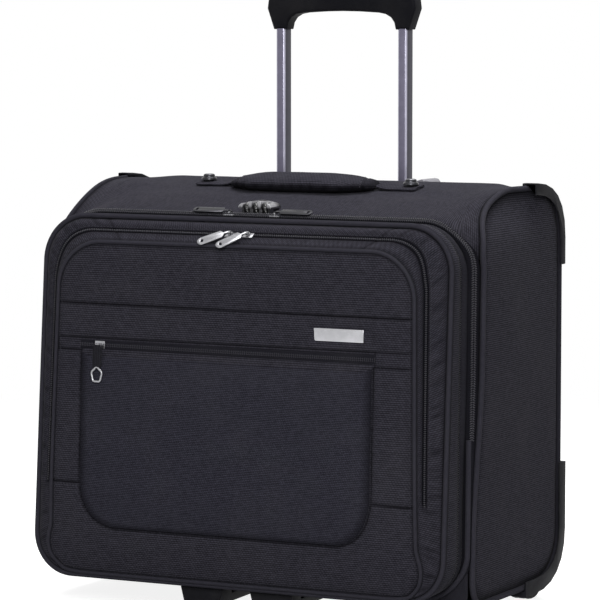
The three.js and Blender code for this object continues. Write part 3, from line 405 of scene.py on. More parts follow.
finish = {
    "ballistic": clothMaterial("ballistic_cloth", (0.027, 0.026, 0.034), 0.0031, 0.0019, step=0.38, contrast=0.95),
    "twill": clothMaterial("twill_cloth", (0.026, 0.0255, 0.035), 0.0024, 0.0016, step=0.3, contrast=0.9),
    "binding": clothMaterial("binding_tape", (0.019, 0.0185, 0.024), 0.0015, 0.0012, depth=0.3, contrast=0.5),
    "tape": clothMaterial("zipper_tape", (0.013, 0.0128, 0.017), 0.0014, 0.0016, depth=0.25, contrast=0.4),
    "cord": clothMaterial("piping_cloth", (0.031, 0.03, 0.039), 0.0014, 0.0011, step=0.5, depth=0.3, contrast=0.5),
    "webbing": clothMaterial("strap_webbing", (0.0165, 0.0163, 0.02), 0.0022, 0.0017, depth=0.5, contrast=0.7),
    "lining": clothMaterial("lining_cloth", (0.03, 0.03, 0.032), 0.0012, 0.0012, contrast=0.3),
    "plastic": mouldMaterial("black_plastic", (0.0065, 0.0065, 0.0082), 0.55, specular=0.05),
    "grip": mouldMaterial("grip_plastic", (0.005, 0.005, 0.0068), 0.55, grain=1400.0, depth=0.25, specular=0.05),
    "rubber": mouldMaterial(
        "wheel_rubber", (0.011, 0.011, 0.0115), 0.75, grain=700.0, wear=0.5, dust=0.25, specular=0.2,
    ),
    "coil": mouldMaterial("coil_nylon", (0.034, 0.033, 0.041), 0.35, depth=0.05, wear=0.0, specular=0.3),
    "thread": mouldMaterial("seam_thread", (0.035, 0.034, 0.042), 0.6, depth=0.1, wear=0.0, dust=0.0, specular=0.1),
    "board": mouldMaterial("lining_board", (0.016, 0.016, 0.017), 0.8, grain=500.0, wear=0.1, specular=0.1),
    "dial": mouldMaterial("dial_plastic", (0.012, 0.012, 0.013), 0.4, grain=1500.0, wear=0.2, specular=0.3),
    "digits": mouldMaterial("digit_paint", (0.55, 0.55, 0.55), 0.5, grain=1500.0, wear=0.0, dust=0.0),
    # Lit and shaded copies of the inner tube's anodised colour: the darker side copy is painted shade, the bright edge
    # copy a painted highlight
    "tube": metalMaterial("anodised_tube", (0.14, 0.132, 0.18), 0.42),
    "tubePaintedShade": metalMaterial("anodised_tube_painted_shade", (0.055, 0.053, 0.068), 0.45),
    "tubePaintedHighlight": metalMaterial("anodised_tube_painted_highlight", (0.42, 0.41, 0.5), 0.3),
    "tubeDark": metalMaterial("steel_tube", (0.1, 0.098, 0.115), 0.36),
    "bezel": metalMaterial(
        "bezel_paint", (0.17, 0.165, 0.185), 0.5, stretch=(400.0, 400.0, 400.0), metallic=0.35, coat=0.1,
    ),
    "bright": metalMaterial("plated_bright", (0.3, 0.3, 0.315), 0.3, stretch=(900.0, 900.0, 900.0)),
    "dark": metalMaterial("plated_dark", (0.034, 0.034, 0.038), 0.3, stretch=(900.0, 900.0, 900.0)),
    "plate": metalMaterial("brushed_plate", (0.44, 0.44, 0.46), 0.3, stretch=(60.0, 60.0, 3500.0), depth=0.12),
}
print("materials made:", len(finish))

# Outlines, sections and skins, all in the source's millimetres


def smoothstep(value, low, high):
    share = np.clip((np.asarray(value, float) - low) / (high - low), 0, 1)
    return share * share * (3 - 2 * share)


def cubic(a, b, c, d, steps):
    t = np.linspace(0, 1, steps + 1)[:, None]
    a, b, c, d = (np.array(p, float) for p in (a, b, c, d))
    return (1 - t) ** 3 * a + 3 * (1 - t) ** 2 * t * b + 3 * (1 - t) * t * t * c + t ** 3 * d


def withNormals(points):
    points = np.array(points, float)
    before, after = np.roll(points, 1, 0), np.roll(points, -1, 0)
    along = after - before
    along /= np.linalg.norm(along, axis=1)[:, None]
    area = np.sum(points[:, 0] * after[:, 1] - after[:, 0] * points[:, 1])
    turn = 1 if area > 0 else -1
    return points, np.stack([turn * along[:, 1], -turn * along[:, 0]], 1)


def evenly(points, spacing, closed=True):
    points = np.array(points, float)
    if closed:
        points = np.vstack([points, points[:1]])
    run = np.concatenate([[0], np.cumsum(np.linalg.norm(np.diff(points, axis=0), axis=1))])
    count = max(3, int(round(run[-1] / spacing)))
    goal = np.linspace(0, run[-1], count + 1)
    even = np.stack([np.interp(goal, run, points[:, k]) for k in range(points.shape[1])], 1)
    return even[:-1] if closed else even


arcSteps, topSteps, sideSteps = 30, 120, 90


# Anticlockwise from the bottom middle, seen from the front; the same count of points for every shape
def frontOutline(topHalf, bottomHalf, top, bottom, topRadius, bottomRadius):
    right = []
    angles = np.linspace(0, math.pi / 2, arcSteps + 1)
    low = bottomHalf - bottomRadius
    right += [(low * k / (topSteps // 2), bottom) for k in range(topSteps // 2)]
    right += [(low + bottomRadius * math.sin(a), bottom + bottomRadius * (1 - math.cos(a))) for a in angles]
    first, last = (bottomHalf, bottom + bottomRadius), (topHalf, top - topRadius)
    right += [tuple(np.array(first) + (np.array(last) - first) * k / sideSteps) for k in range(1, sideSteps)]
    high = topHalf - topRadius
    right += [(high + topRadius * math.cos(a), top - topRadius * (1 - math.sin(a))) for a in angles]
    right += [(high * (1 - k / (topSteps // 2)), top) for k in range(1, topSteps // 2)]
    left = [(-x, z) for x, z in right[1:]]
    return withNormals(right + [(0, top)] + left[::-1])


outlineKeys = ("topHalf", "bottomHalf", "top", "bottom", "topRadius", "bottomRadius")
lidOutline = frontOutline(*(sectionShape[k] for k in outlineKeys))
pocketOutline = frontOutline(*(pocketShape[k] for k in outlineKeys))


def ringClosed(points):
    return np.vstack([points, points[:1]])


lidLine = ringClosed(lidOutline[0])


# Distance from points to polylines, and how far along the nearest one each point lies
def away(x, z, lines):
    best = np.full(np.shape(x), 1e9)
    along = np.zeros(np.shape(x))
    for line in lines:
        line = np.asarray(line, float)
        run = 0.0
        for a, b in zip(line[:-1], line[1:]):
            d = b - a
            length = math.hypot(*d)
            if length < 1e-9:
                continue
            t = np.clip(((x - a[0]) * d[0] + (z - a[1]) * d[1]) / length ** 2, 0, 1)
            distance = np.hypot(x - a[0] - t * d[0], z - a[1] - t * d[1])
            nearer = distance < best
            best = np.where(nearer, distance, best)
            along = np.where(nearer, run + t * length, along)
            run += length
    return best, along


# The cover's corners reach out to the section's cord at the bottom
flareSet = {"reach": 11, "from": 80, "to": 52, "clear": 5.4}


def flared(outline):
    points, normals = outline
    room = away(points[:, 0], points[:, 1], [lidLine])[0] - flareSet["clear"]
    move = flareSet["reach"] * (1 - smoothstep(points[:, 1], flareSet["to"], flareSet["from"]))
    return withNormals(points + normals * np.minimum(move, np.maximum(room, 0))[:, None])


pocketOutline = flared(pocketOutline)
pocketOutline = withNormals(pocketOutline[0] + np.array([pocketShape["right"], 0]))


# Depth of the cover's edge, which comes back to the section's cord where they meet
def edgeDepths(points):
    room = away(points[:, 0], points[:, 1], [lidLine])[0]
    share = (1 - smoothstep(room, 5.5, 15)) * (1 - smoothstep(points[:, 1], 55, 90))
    cover = np.interp(points[:, 1], coverHeights, coverDepths)
    lid = sectionShape["lean"] * (points[:, 1] - caseShape["level"]) - sectionShape["depth"] - 3.2
    return cover + share * (lid - cover)


pocketEdge = edgeDepths(pocketOutline[0])


# Smooth unevenness without a pattern, the same each run
def wander(x, z, scale, seed):
    spin = np.random.default_rng(seed)
    total = np.zeros(np.shape(x))
    for k in range(7):
        angle, phase = spin.uniform(0, math.pi), spin.uniform(0, 2 * math.pi)
        pitch = scale * spin.uniform(0.6, 1.8)
        total = total + np.sin((x * math.cos(angle) + z * math.sin(angle)) * 2 * math.pi / pitch + phase)
    return total / 7


# One value of painted shade for each point: 1 where the cloth lies in a seam or fold and its colour is painted dark
def makePiece(
    name, points, faces, looks, body, replaced=(), corners=None, sharp=50, paintedShade=None,
):
    mesh = bpy.data.meshes.new(name)
    place = np.array(points, float) * mm + np.array([0, rimShift, 0])
    mesh.from_pydata(place.tolist(), [], faces)
    if paintedShade is not None:
        mesh.attributes.new("painted_shade", "FLOAT", "POINT").data.foreach_set("value", np.clip(paintedShade, 0, 1).ravel())
    if corners is not None:
        mesh.uv_layers.new(name="weave").data.foreach_set("uv", (np.array(corners, float).reshape(-1, 2) * mm).ravel())
    shell = bmesh.new()
    shell.from_mesh(mesh)
    bmesh.ops.recalc_face_normals(shell, faces=shell.faces)
    shell.to_mesh(mesh)
    shell.free()
    for look in (looks if isinstance(looks, (list, tuple)) else [looks]):
        mesh.materials.append(finish[look])
    mesh.shade_smooth()
    mesh.set_sharp_from_angle(angle=math.radians(sharp))
    piece = addObject(name, mesh)
    if body:
        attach(piece, body)
    if replaced:
        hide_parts(*replaced)
    return piece


# A skin over rows of sections; the weave's map is in millimetres along the rows and round the section
def skin(
    name, rows, looks, body, replaced=(), slot="case_fabric", closedAlong=True, turn=False, sharp=50,
    lookOf=None, paintedShade=None,
):
    rows = np.array(rows, float)
    count, size = rows.shape[:2]
    stepAlong = np.linalg.norm(np.diff(ringClosed(rows), axis=0), axis=2).mean(1)
    wrapped = np.concatenate([rows, rows[:, :1]], 1)
    stepRound = np.linalg.norm(np.diff(wrapped, axis=1), axis=2).mean(0)
    along = np.concatenate([[0], np.cumsum(stepAlong)])
    around = np.concatenate([[0], np.cumsum(stepRound)])
    faces, corners, kinds = [], [], []
    for i in range(count if closedAlong else count - 1):
        for j in range(size):
            ring = [(i, j), (i + 1, j), (i + 1, j + 1), (i, j + 1)]
            faces.append([(a % count) * size + b % size for a, b in ring])
            flat = [(along[a], around[b]) for a, b in ring]
            corners += [p[::-1] for p in flat] if turn else flat
            if lookOf:
                kinds.append(lookOf(i, j))
    if not closedAlong:
        for i in (0, count - 1):
            faces.append([i * size + j for j in range(size)])
            centre = rows[i].mean(0)
            span = rows[i] - centre
            axes = np.argsort(-np.abs(span).max(0))[:2]
            corners += [(p[axes[0]], p[axes[1]]) for p in span]
            if lookOf:
                kinds.append(0)
    piece = makePiece(name, rows.reshape(-1, 3), faces, looks, body, replaced, corners, sharp, paintedShade=paintedShade)
    if lookOf:
        piece.data.polygons.foreach_set("material_index", kinds)
    return piece


def ringRows(outline, section):
    points, normals = outline
    run = np.concatenate([[0], np.cumsum(np.linalg.norm(np.diff(points, axis=0), axis=1))])
    rows = []
    for (x, z), (nx, nz), s in zip(points, normals, run):
        rows.append([(x + nx * out, y, z + nz * out) for out, y in section(x, z, s)])
    return rows


def cordSection(radius, out, y, sides=12):
    angles = [2 * math.pi * k / sides for k in range(sides)]
    return [(out + radius * math.cos(a), y + radius * math.sin(a)) for a in angles]


# Painted shade on a cord: darker where it turns away to either side
def cordCreases(count, sides, front=-math.pi / 2):
    turning = [1 - max(0.0, math.cos(2 * math.pi * k / sides - front)) for k in range(sides)]
    return np.tile([0.85 * a ** 1.6 for a in turning], (count, 1))


# Rows of small shapes along seams: stitches and zipper teeth
def makeSeamRows():
    tree = bpy.data.node_groups.new("along_seam", "GeometryNodeTree")
    tree.is_modifier = True
    face = tree.interface
    face.new_socket("Geometry", in_out="INPUT", socket_type="NodeSocketGeometry")
    for label, value in (("Spacing", 0.004), ("Length", 0.003), ("Width", 0.0006), ("Height", 0.0004), ("Slant", 0.0)):
        face.new_socket(label, in_out="INPUT", socket_type="NodeSocketFloat").default_value = value
    face.new_socket("Material", in_out="INPUT", socket_type="NodeSocketMaterial")
    face.new_socket("Geometry", in_out="OUTPUT", socket_type="NodeSocketGeometry")
    given, out = tree.nodes.new("NodeGroupInput"), tree.nodes.new("NodeGroupOutput")
    line = put(tree, "GeometryNodeMeshToCurve", {"Mesh": given.outputs["Geometry"]})
    even = put(
        tree, "GeometryNodeResampleCurve", {"Curve": line.outputs[0], "Length": given.outputs["Spacing"]},
        mode="LENGTH",
    )
    way = tree.nodes.new("GeometryNodeInputTangent").outputs[0]
    up = put(tree, "GeometryNodeInputNamedAttribute", {"Name": "up"}, data_type="FLOAT_VECTOR").outputs[0]
    faced = put(tree, "FunctionNodeAlignRotationToVector", {"Vector": way}, axis="X")
    faced = put(
        tree, "FunctionNodeAlignRotationToVector", {"Rotation": faced.outputs[0], "Vector": up}, axis="Z",
        pivot_axis="X",
    )
    slant = put(tree, "ShaderNodeCombineXYZ", {2: given.outputs["Slant"]})
    slant = put(tree, "FunctionNodeEulerToRotation", {0: slant.outputs[0]})
    faced = put(tree, "FunctionNodeRotateRotation", {0: faced.outputs[0], 1: slant.outputs[0]}, rotation_space="LOCAL")
    size = put(
        tree, "ShaderNodeCombineXYZ",
        {0: given.outputs["Length"], 1: given.outputs["Width"], 2: given.outputs["Height"]},
    )
    bead = put(tree, "GeometryNodeMeshIcoSphere", {"Radius": 0.5, "Subdivisions": 1})
    rows = put(tree, "GeometryNodeInstanceOnPoints", {
        "Points": even.outputs[0], "Instance": bead.outputs[0], "Rotation": faced.outputs[0], "Scale": size.outputs[0],
    })
    solid = put(tree, "GeometryNodeRealizeInstances", {0: rows.outputs[0]})
    coloured = put(
        tree, "GeometryNodeSetMaterial", {"Geometry": solid.outputs[0], "Material": given.outputs["Material"]},
    )
    tree.links.new(coloured.outputs[0], out.inputs[0])
    return tree


seamRows = makeSeamRows()


# Spacing, length, width and height of each kind of stitch or tooth, in millimetres
beadSizes = {
    "seam": (3.6, 2.7, 0.55, 0.4), "cover": (3.4, 2.5, 0.5, 0.35), "pocketSeam": (3.5, 2.6, 0.5, 0.4),
    "grip": (3.2, 2.4, 0.6, 0.4), "expansion": (1.9, 1.25, 1.5, 1.6), "mainTeeth": (2.1, 1.5, 3.4, 1.7),
    "pocketTeeth": (1.9, 1.2, 2.4, 1.4), "slitTeeth": (1.9, 1.2, 2.1, 1.5),
}


# lines: polylines of (x, y, z, upX, upY, upZ) in millimetres
def rowsAlong(name, lines, look, body, size, slant=0.0):
    spacing, length, width, height = beadSizes[size]
    mesh = bpy.data.meshes.new(name + "_line")
    places, edges = [], []
    for line in lines:
        start = len(places)
        places += list(line)
        edges += [(k, k + 1) for k in range(start, len(places) - 1)]
    places = np.array(places, float)
    mesh.from_pydata((places[:, :3] * mm + np.array([0, rimShift, 0])).tolist(), edges, [])
    mesh.attributes.new("up", "FLOAT_VECTOR", "POINT").data.foreach_set("vector", places[:, 3:].ravel())
    line = addObject(name + "_line", mesh)
    modifier = line.modifiers.new("rows", "NODES")
    modifier.node_group = seamRows
    values = {
        "Spacing": spacing * mm, "Length": length * mm, "Width": width * mm, "Height": height * mm,
        "Slant": slant, "Material": finish[look],
    }
    for socket in seamRows.interface.items_tree:
        if socket.in_out == "INPUT" and socket.name in values:
            modifier[socket.identifier] = values[socket.name]
    made = evaluatedMesh(line)
    bpy.data.objects.remove(line)
    made.name = name
    made.shade_smooth()
    piece = addObject(name, made)
    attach(piece, body)


# A line round the section, out from its outline and at a depth, for stitches and teeth
def ringLine(out, depthOf):
    line = []
    for k in [*range(len(lidOutline[0])), 0]:
        (x, z), (nx, nz) = lidOutline[0][k], lidOutline[1][k]
        line.append((x + nx * out, depthOf(z), z + nz * out, nx, 0, nz))
    return [line]


# Copies of hard nodes, merged, with rounded edges
def rounded(node, look, width, segments=2, looks=None, lookOf=None):
    title = node + "_shape"
    mesh = nodes[node].data.copy()
    mesh.name = title
    mesh.materials.clear()
    shell = bmesh.new()
    shell.from_mesh(mesh)
    bmesh.ops.remove_doubles(shell, verts=shell.verts, dist=0.02 * mm)
    bmesh.ops.dissolve_limit(shell, angle_limit=math.radians(1.5), verts=shell.verts, edges=shell.edges)
    shell.to_mesh(mesh)
    shell.free()
    for layer in list(mesh.uv_layers):
        mesh.uv_layers.remove(layer)
    piece = addObject(title, mesh)
    edge = piece.modifiers.new("edges", "BEVEL")
    edge.width = width * mm
    edge.segments = segments
    edge.angle_limit = math.radians(28)
    edge.use_clamp_overlap = True
    edge.harden_normals = False
    made = evaluatedMesh(piece)
    bpy.data.objects.remove(piece)
    bpy.data.meshes.remove(mesh)
    made.name = title
    for look in (looks or [look]):
        made.materials.append(finish[look])
    if lookOf:
        made.polygons.foreach_set("material_index", [lookOf(p) for p in made.polygons])
    made.shade_smooth()
    made.set_sharp_from_angle(angle=math.radians(50))
    piece = addObject(made.name, made)
    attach(piece, bodyOf[node])
    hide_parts(node)
    return piece


bodyOf = {}
for bodyName, members in frame["record"]["behaviour"]["bodies"].items():
    for member in members:
        bodyOf[member] = bodyName
sides = {"right": 1, "left": -1}
print("helpers ready")

# Front section: frame, gusset, cord, and the rim and main zipper behind them


def rimAt(z, back):
    return rimY(z) - back


# The filled case bulges outwards and back at its front corners, more on the right
bulgeSet = {"out": 4.5, "back": 4.0, "riseFrom": 80, "riseTo": 240, "fadeFrom": 320, "fadeTo": 380, "left": 0.35}
# Above the front's corners the sides lean inwards to the top
shoulderSet = {"right": 10, "left": 8, "from": {"right": 345, "left": 332}, "to": 384, "rearFrom": 90, "rearTo": 165}


def bulge(x, z):
    share = smoothstep(z, bulgeSet["riseFrom"], bulgeSet["riseTo"])
    share = share * (1 - smoothstep(z, bulgeSet["fadeFrom"], bulgeSet["fadeTo"]))
    return share * np.where(np.asarray(x) > 0, 1.0, bulgeSet["left"])


# Moves of the side's cord and cloth at a place on the side, outwards and back
def bulgeMoves(sign, y, z):
    share = bulge(sign, z)
    side, s = ("right" if sign > 0 else "left"), shoulderSet
    inset = s[side] * smoothstep(z, s["from"][side], s["to"]) * (1 - smoothstep(y, s["rearFrom"], s["rearTo"]))
    out = bulgeSet["out"] * share * (1 - smoothstep(y, 40, 190)) - inset
    return sign * out, bulgeSet["back"] * share * (1 - smoothstep(y, 0, 45))


rimSet = {"half": 213.7, "bottom": 22, "radius": 45, "lowRadius": 10, "innerLowRadius": 34, "width": 9}


def makeRim():
    half, bottom, radius, width = (rimSet[k] for k in ("half", "bottom", "radius", "width"))
    top = sectionShape["top"]
    outer = frontOutline(half, half, top, bottom, radius, rimSet["lowRadius"])
    inner = frontOutline(
        half - width, half - width, top - width, bottom + width, radius - width, rimSet["innerLowRadius"],
    )
    rows = []
    for (x0, z0), (x1, z1) in zip(outer[0], inner[0]):
        row = []
        for share, back in ((0, 0.5), (0, 2.4), (0.08, 3.2), (0.3, 3.4), (0.6, 3.4), (0.92, 3.2), (1, 2.6), (1, 0.5)):
            x, z = x0 + (x1 - x0) * share, z0 + (z1 - z0) * share
            row.append((x, rimAt(z, back), z))
        rows.append(row)
    skin("rim_binding", rows, "binding", "case", ("front_rim",), turn=True)


zipperSet = {
    "end": 170, "slant": 0.5, "flatFrom": 335, "flatTo": 358, "tapeFrom": 52, "thick": 0.8,
}


# The tape from the frame's edge to the side cord: oblique up the sides, flat over the top
def tapeLine(x, z):
    share = float(bulge(x, z))
    side = np.array([
        (1.0, -5.5), (4.6, -4.3), (5.6 + 1.6 * share, -3.7 + 2.1 * share), (6.4 + 3.2 * share, -1.9 + 4.3 * share),
    ])
    top = np.array([(-1.0, -5.2), (1.2, -4.9), (3.0, -4.15), (4.2, -3.7)])
    line = side + (top - side) * float(smoothstep(z, zipperSet["flatFrom"], zipperSet["flatTo"]))
    return line + np.array([0, rimAt(z, 0)])


def above(outline, level):
    points, normals = outline
    inside = [k for k in range(len(points)) if points[k][1] > level]
    return points[inside[0]:inside[-1] + 1], normals[inside[0]:inside[-1] + 1]


def makeMainZipper():
    def tape(x, z, s):
        line = tapeLine(x, z)
        first = line[0]
        under = line + np.array([-0.35, 0.7]) * zipperSet["thick"]
        return [
            (first[0] - 2.4, first[1] + 0.05), *map(tuple, line), *map(tuple, under[:0:-1]),
            (first[0] - 2.4, first[1] + 1.5),
        ]

    rows = ringRows(above(lidOutline, zipperSet["tapeFrom"]), tape)
    # Painted shade across the tape's section: dark at its edges and underside, light on its face
    dark = np.tile([0.5, 0.6, 0.15, 0.15, 0.75, 0.6, 0.6, 0.6, 0.6], (len(rows), 1))
    skin("main_zipper_tape", rows, "tape", "case", ("main_zipper",), closedAlong=False, turn=True, paintedShade=dark)
    points, normals = above(lidOutline, zipperSet["end"])
    for i, share in enumerate((0.22, 0.95)):
        line = []
        for (x, z), (nx, nz) in zip(points, normals):
            run = tapeLine(x, z)
            out, y = run[1] + (run[2] - run[1]) * share
            way = run[2] - run[1]
            face = np.array([-way[1], way[0]]) / -np.linalg.norm(way)
            face = face if face[1] < 0 else -face
            out, y = out + face[0] * 0.5, y + face[1] * 0.5
            line.append((x + nx * out, y, z + nz * out, nx * face[0], face[1], nz * face[0]))
        slant = (zipperSet["slant"], -zipperSet["slant"])[i]
        rowsAlong("main_zipper_teeth_" + str(i + 1), [line], "coil", "case", "mainTeeth", slant)

    def lowCord(x, z, s):
        low = 1 - float(smoothstep(z, zipperSet["tapeFrom"] - 12, zipperSet["tapeFrom"] + 20))
        return cordSection(2.4, 4.6 - 3.0 * low, rimAt(z, 6.4 - 1.0 * low), 10)

    points, normals = lidOutline
    start = min(k for k in range(len(points)) if points[k][1] > zipperSet["end"])
    last = max(k for k in range(len(points)) if points[k][1] > zipperSet["end"])
    low = (np.vstack([points[last:], points[:start + 1]]), np.vstack([normals[last:], normals[:start + 1]]))
    skin("rim_low_cord", ringRows(low, lowCord), "cord", "case", (), closedAlong=False)


def makeFrame():
    def section(x, z, s):
        y = rimAt(z, 0)
        swell = 0.35 * math.sin(s / 23) * math.sin(s / 7.3)
        flare = 2.4 * float(bulge(x, z)) * float(1 - smoothstep(z, zipperSet["flatFrom"] - 20, zipperSet["flatTo"]))
        return [
            (-5, y - 5.8), (-1.6 + flare, y - 5.7), (-0.9 + flare, y - 6.3), (-0.6 + 0.4 * swell + 0.6 * flare, y - 9),
            (-0.5 + swell + 0.25 * flare, y - 12), (-0.9, y - 14.6), (-1.6, y - 15.6), (-5, y - 15.8),
        ]
    rows = ringRows(lidOutline, section)
    # Painted shade on the binding's folded edges, where it turns into the seams
    dark = np.tile([0.9, 0.85, 0.45, 0, 0, 0.35, 0.85, 0.9], (len(rows), 1))
    skin("frame_binding", rows, "binding", "section", ("lid_frame",), slot="trim_fabric", turn=True, paintedShade=dark)
    stitches = ringLine(-0.75, lambda z: rimAt(z, 7.2)) + ringLine(-0.75, lambda z: rimAt(z, 13.8))
    rowsAlong("frame_stitches", stitches, "thread", "section", "seam")
    teeth = ringLine(-1.0, lambda z: rimAt(z, 16.1))
    rowsAlong("expansion_teeth_rear", teeth, "dark", "section", "expansion")
    teeth = ringLine(-0.9, lambda z: rimAt(z, 17.5))
    rowsAlong("expansion_teeth_front", teeth, "dark", "lid", "expansion")


gussetSet = {"start": 17.6, "wall": 4.4, "swell": 1.1, "pucker": 0.25}


def makeLidGusset():
    shares = np.linspace(0, 1, 9)

    def section(x, z, s):
        first, last = rimAt(z, gussetSet["start"]) - 0.3, lidY(z) + 3.6
        rows = []
        for share in shares:
            fold = gussetSet["pucker"] * math.sin(s / 3.1 + 2 * math.sin(s / 17)) * math.exp(-min(share, 1 - share) * 6)
            arch = gussetSet["swell"] * math.sin(math.pi * share) ** 0.7
            out = -0.5 + arch * (0.8 + 0.3 * math.sin(s / 41 + share * 3)) + fold
            rows.append((out, first + (last - first) * share))
        return rows + [(-gussetSet["wall"], y) for out, y in reversed(rows[::2])]

    rows = ringRows(lidOutline, section)
    # Painted shade at the gusset's seamed ends and on its hidden wall
    ends = np.exp(-np.minimum(shares, 1 - shares) / 0.06)
    dark = np.tile(np.concatenate([0.85 * ends, np.full(len(rows[0]) - len(shares), 0.8)]), (len(rows), 1))
    skin("lid_gusset_cloth", rows, "ballistic", "lid", ("lid_gusset",), turn=True, paintedShade=dark)
    line = ringLine(-0.1, lambda z: rimAt(z, 20.4)) + ringLine(0.0, lambda z: lidY(z) + 6.6)
    rowsAlong("lid_gusset_stitches", line, "thread", "lid", "seam")


# Radius and place out from the outline
cordSet = {"lid": (2.6, -0.8), "pocket": (1.9, 1.9), "sides": 12}


def makeCords():
    def lidCord(x, z, s):
        return cordSection(*cordSet["lid"], lidY(z) + 0.3)

    skin(
        "lid_cord", ringRows(lidOutline, lidCord), "cord", "lid", ("lid_piping",), slot="trim_fabric",
        paintedShade=cordCreases(len(lidOutline[0]), cordSet["sides"]),
    )

    points, normals = pocketOutline
    rows = []
    for (x, z), (nx, nz), y in zip(points, normals, pocketEdge):
        rows.append([(x + nx * out, depth, z + nz * out) for out, depth in cordSection(*cordSet["pocket"], y + 0.4)])
    skin(
        "pocket_cord", rows, "cord", "pocket", ("pocket_piping",), slot="trim_fabric",
        paintedShade=cordCreases(len(rows), cordSet["sides"]),
    )


expansionSet = {"folds": 9, "from": 11.7, "depth": 11.8, "inset": 5.6, "sag": 1.2, "thick": 1.0}


def makeExpansion():
    e = expansionSet

    def section(x, z, s):
        rows = []
        for k in range(e["folds"] + 1):
            share = k / e["folds"]
            out = -e["inset"] - e["sag"] * math.sin(math.pi * share) - 0.2 * (k % 2)
            rows.append((out, rimAt(z, e["from"] + e["depth"] * share)))
        return rows + [(out - e["thick"], y) for out, y in reversed(rows)]

    piece = skin(
        "expansion_cloth", ringRows(lidOutline, section), "lining", None, ("expansion_gusset",),
        slot="lining_board", turn=True,
    )
    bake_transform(piece)


boardSet = {"steps": 14, "inset": 5.5, "centre": (0, 200.0), "depth": 5.6, "thick": 2.1}


def makeLidBoard():
    steps = boardSet["steps"]
    rows = []
    points, normals = lidOutline
    centre = np.array(boardSet["centre"])
    for k in range(len(points)):
        edge = points[k] - normals[k] * boardSet["inset"]
        row = []
        for j in range(steps + 1):
            spot = edge + (centre - edge) * j / steps
            row.append((spot[0], lidY(spot[1]) + (boardSet["depth"] if j else 6.2), spot[1]))
        row[-1] = (centre[0] + (edge - centre)[0] * 1e-3, row[-1][1], centre[1] + (edge - centre)[1] * 1e-3)
        row += [(x, y + boardSet["thick"] - (0.6 if i == 0 else 0), z) for i, (x, y, z) in enumerate(row)][::-1]
        rows.append(row)
    size, count, faces = len(rows[0]), len(rows), []
    for i in range(count):
        after = (i + 1) % count
        for j in [j for j in range(size) if j != steps]:
            right = (j + 1) % size
            faces.append([after * size + j, after * size + right, i * size + right, i * size + j])
    faces.append([i * size + steps for i in range(count)])
    faces.append([i * size + steps + 1 for i in range(count)][::-1])
    spots = np.array(rows).reshape(-1, 3)
    corners = [(spots[v][0], spots[v][2]) for face in faces for v in face]
    makePiece("lid_board_cloth", spots, faces, "lining", "lid", ("lid_panel",), corners)


makeRim()
makeMainZipper()
makeFrame()
makeLidGusset()
makeCords()
makeExpansion()
makeLidBoard()
print("front section made")

# Pocket cover: its seams, its slit zipper and the padded panel below it
coverSet = {
    "seamA": (285, 283), "seamB": 253.5, "welt": (242, 239.5), "end": 190, "stitchLift": 0.15,
    "panelLeft": -156, "panelRight": 144.5, "panelBottom": 77, "patch": 145.5,
    "crown": 1.0, "crownReach": 9, "ridge": 0.9, "ridgeReach": 1.6, "groove": 1.2, "grooveReach": 1.1, "thick": 3.6,
}


def seamPart(z0, z1, x0, x1, steps=40):
    x = np.linspace(x0, x1, steps)
    return np.stack([x, z0 + (z1 - z0) * (x + 182) / 364], 1)


def panelLine():
    left, right, low = coverSet["panelLeft"], coverSet["panelRight"], coverSet["panelBottom"]
    leftArc = cubic((left, 118), (left + 1, 96), (-143, low + 2), (-118, low), 14)
    rightArc = cubic((106, low), (128, low + 0.5), (141, 92), (right, 118), 14)
    base = np.stack([np.linspace(-118, 106, 30)[1:-1], np.full(28, float(low))], 1)
    return np.vstack([[(left, 240.6)], [(left, 180)], leftArc, base, rightArc, [(right, 180)], [(right, 239.4)]])


reach, panelLeft, panelRight, patchLeft = (coverSet[k] for k in ("end", "panelLeft", "panelRight", "patch"))
seamLines = [
    seamPart(*coverSet["seamA"], -reach, reach), panelLine(),
    np.array([(-reach, 118.5), (panelLeft, 118)]), np.array([(panelRight, 117.5), (192, 116.5)]),
    np.array([(-reach, 242), (panelLeft, 241.4)]),
]
bandLine = seamPart(coverSet["seamB"], coverSet["seamB"] - 0.5, -reach, reach)
weltLine = seamPart(*coverSet["welt"], panelLeft, patchLeft)
patchLines = [
    np.array([(patchLeft, 253.2), (patchLeft, 239.3)]), np.array([(patchLeft, 239.3), (reach, 239)]),
]


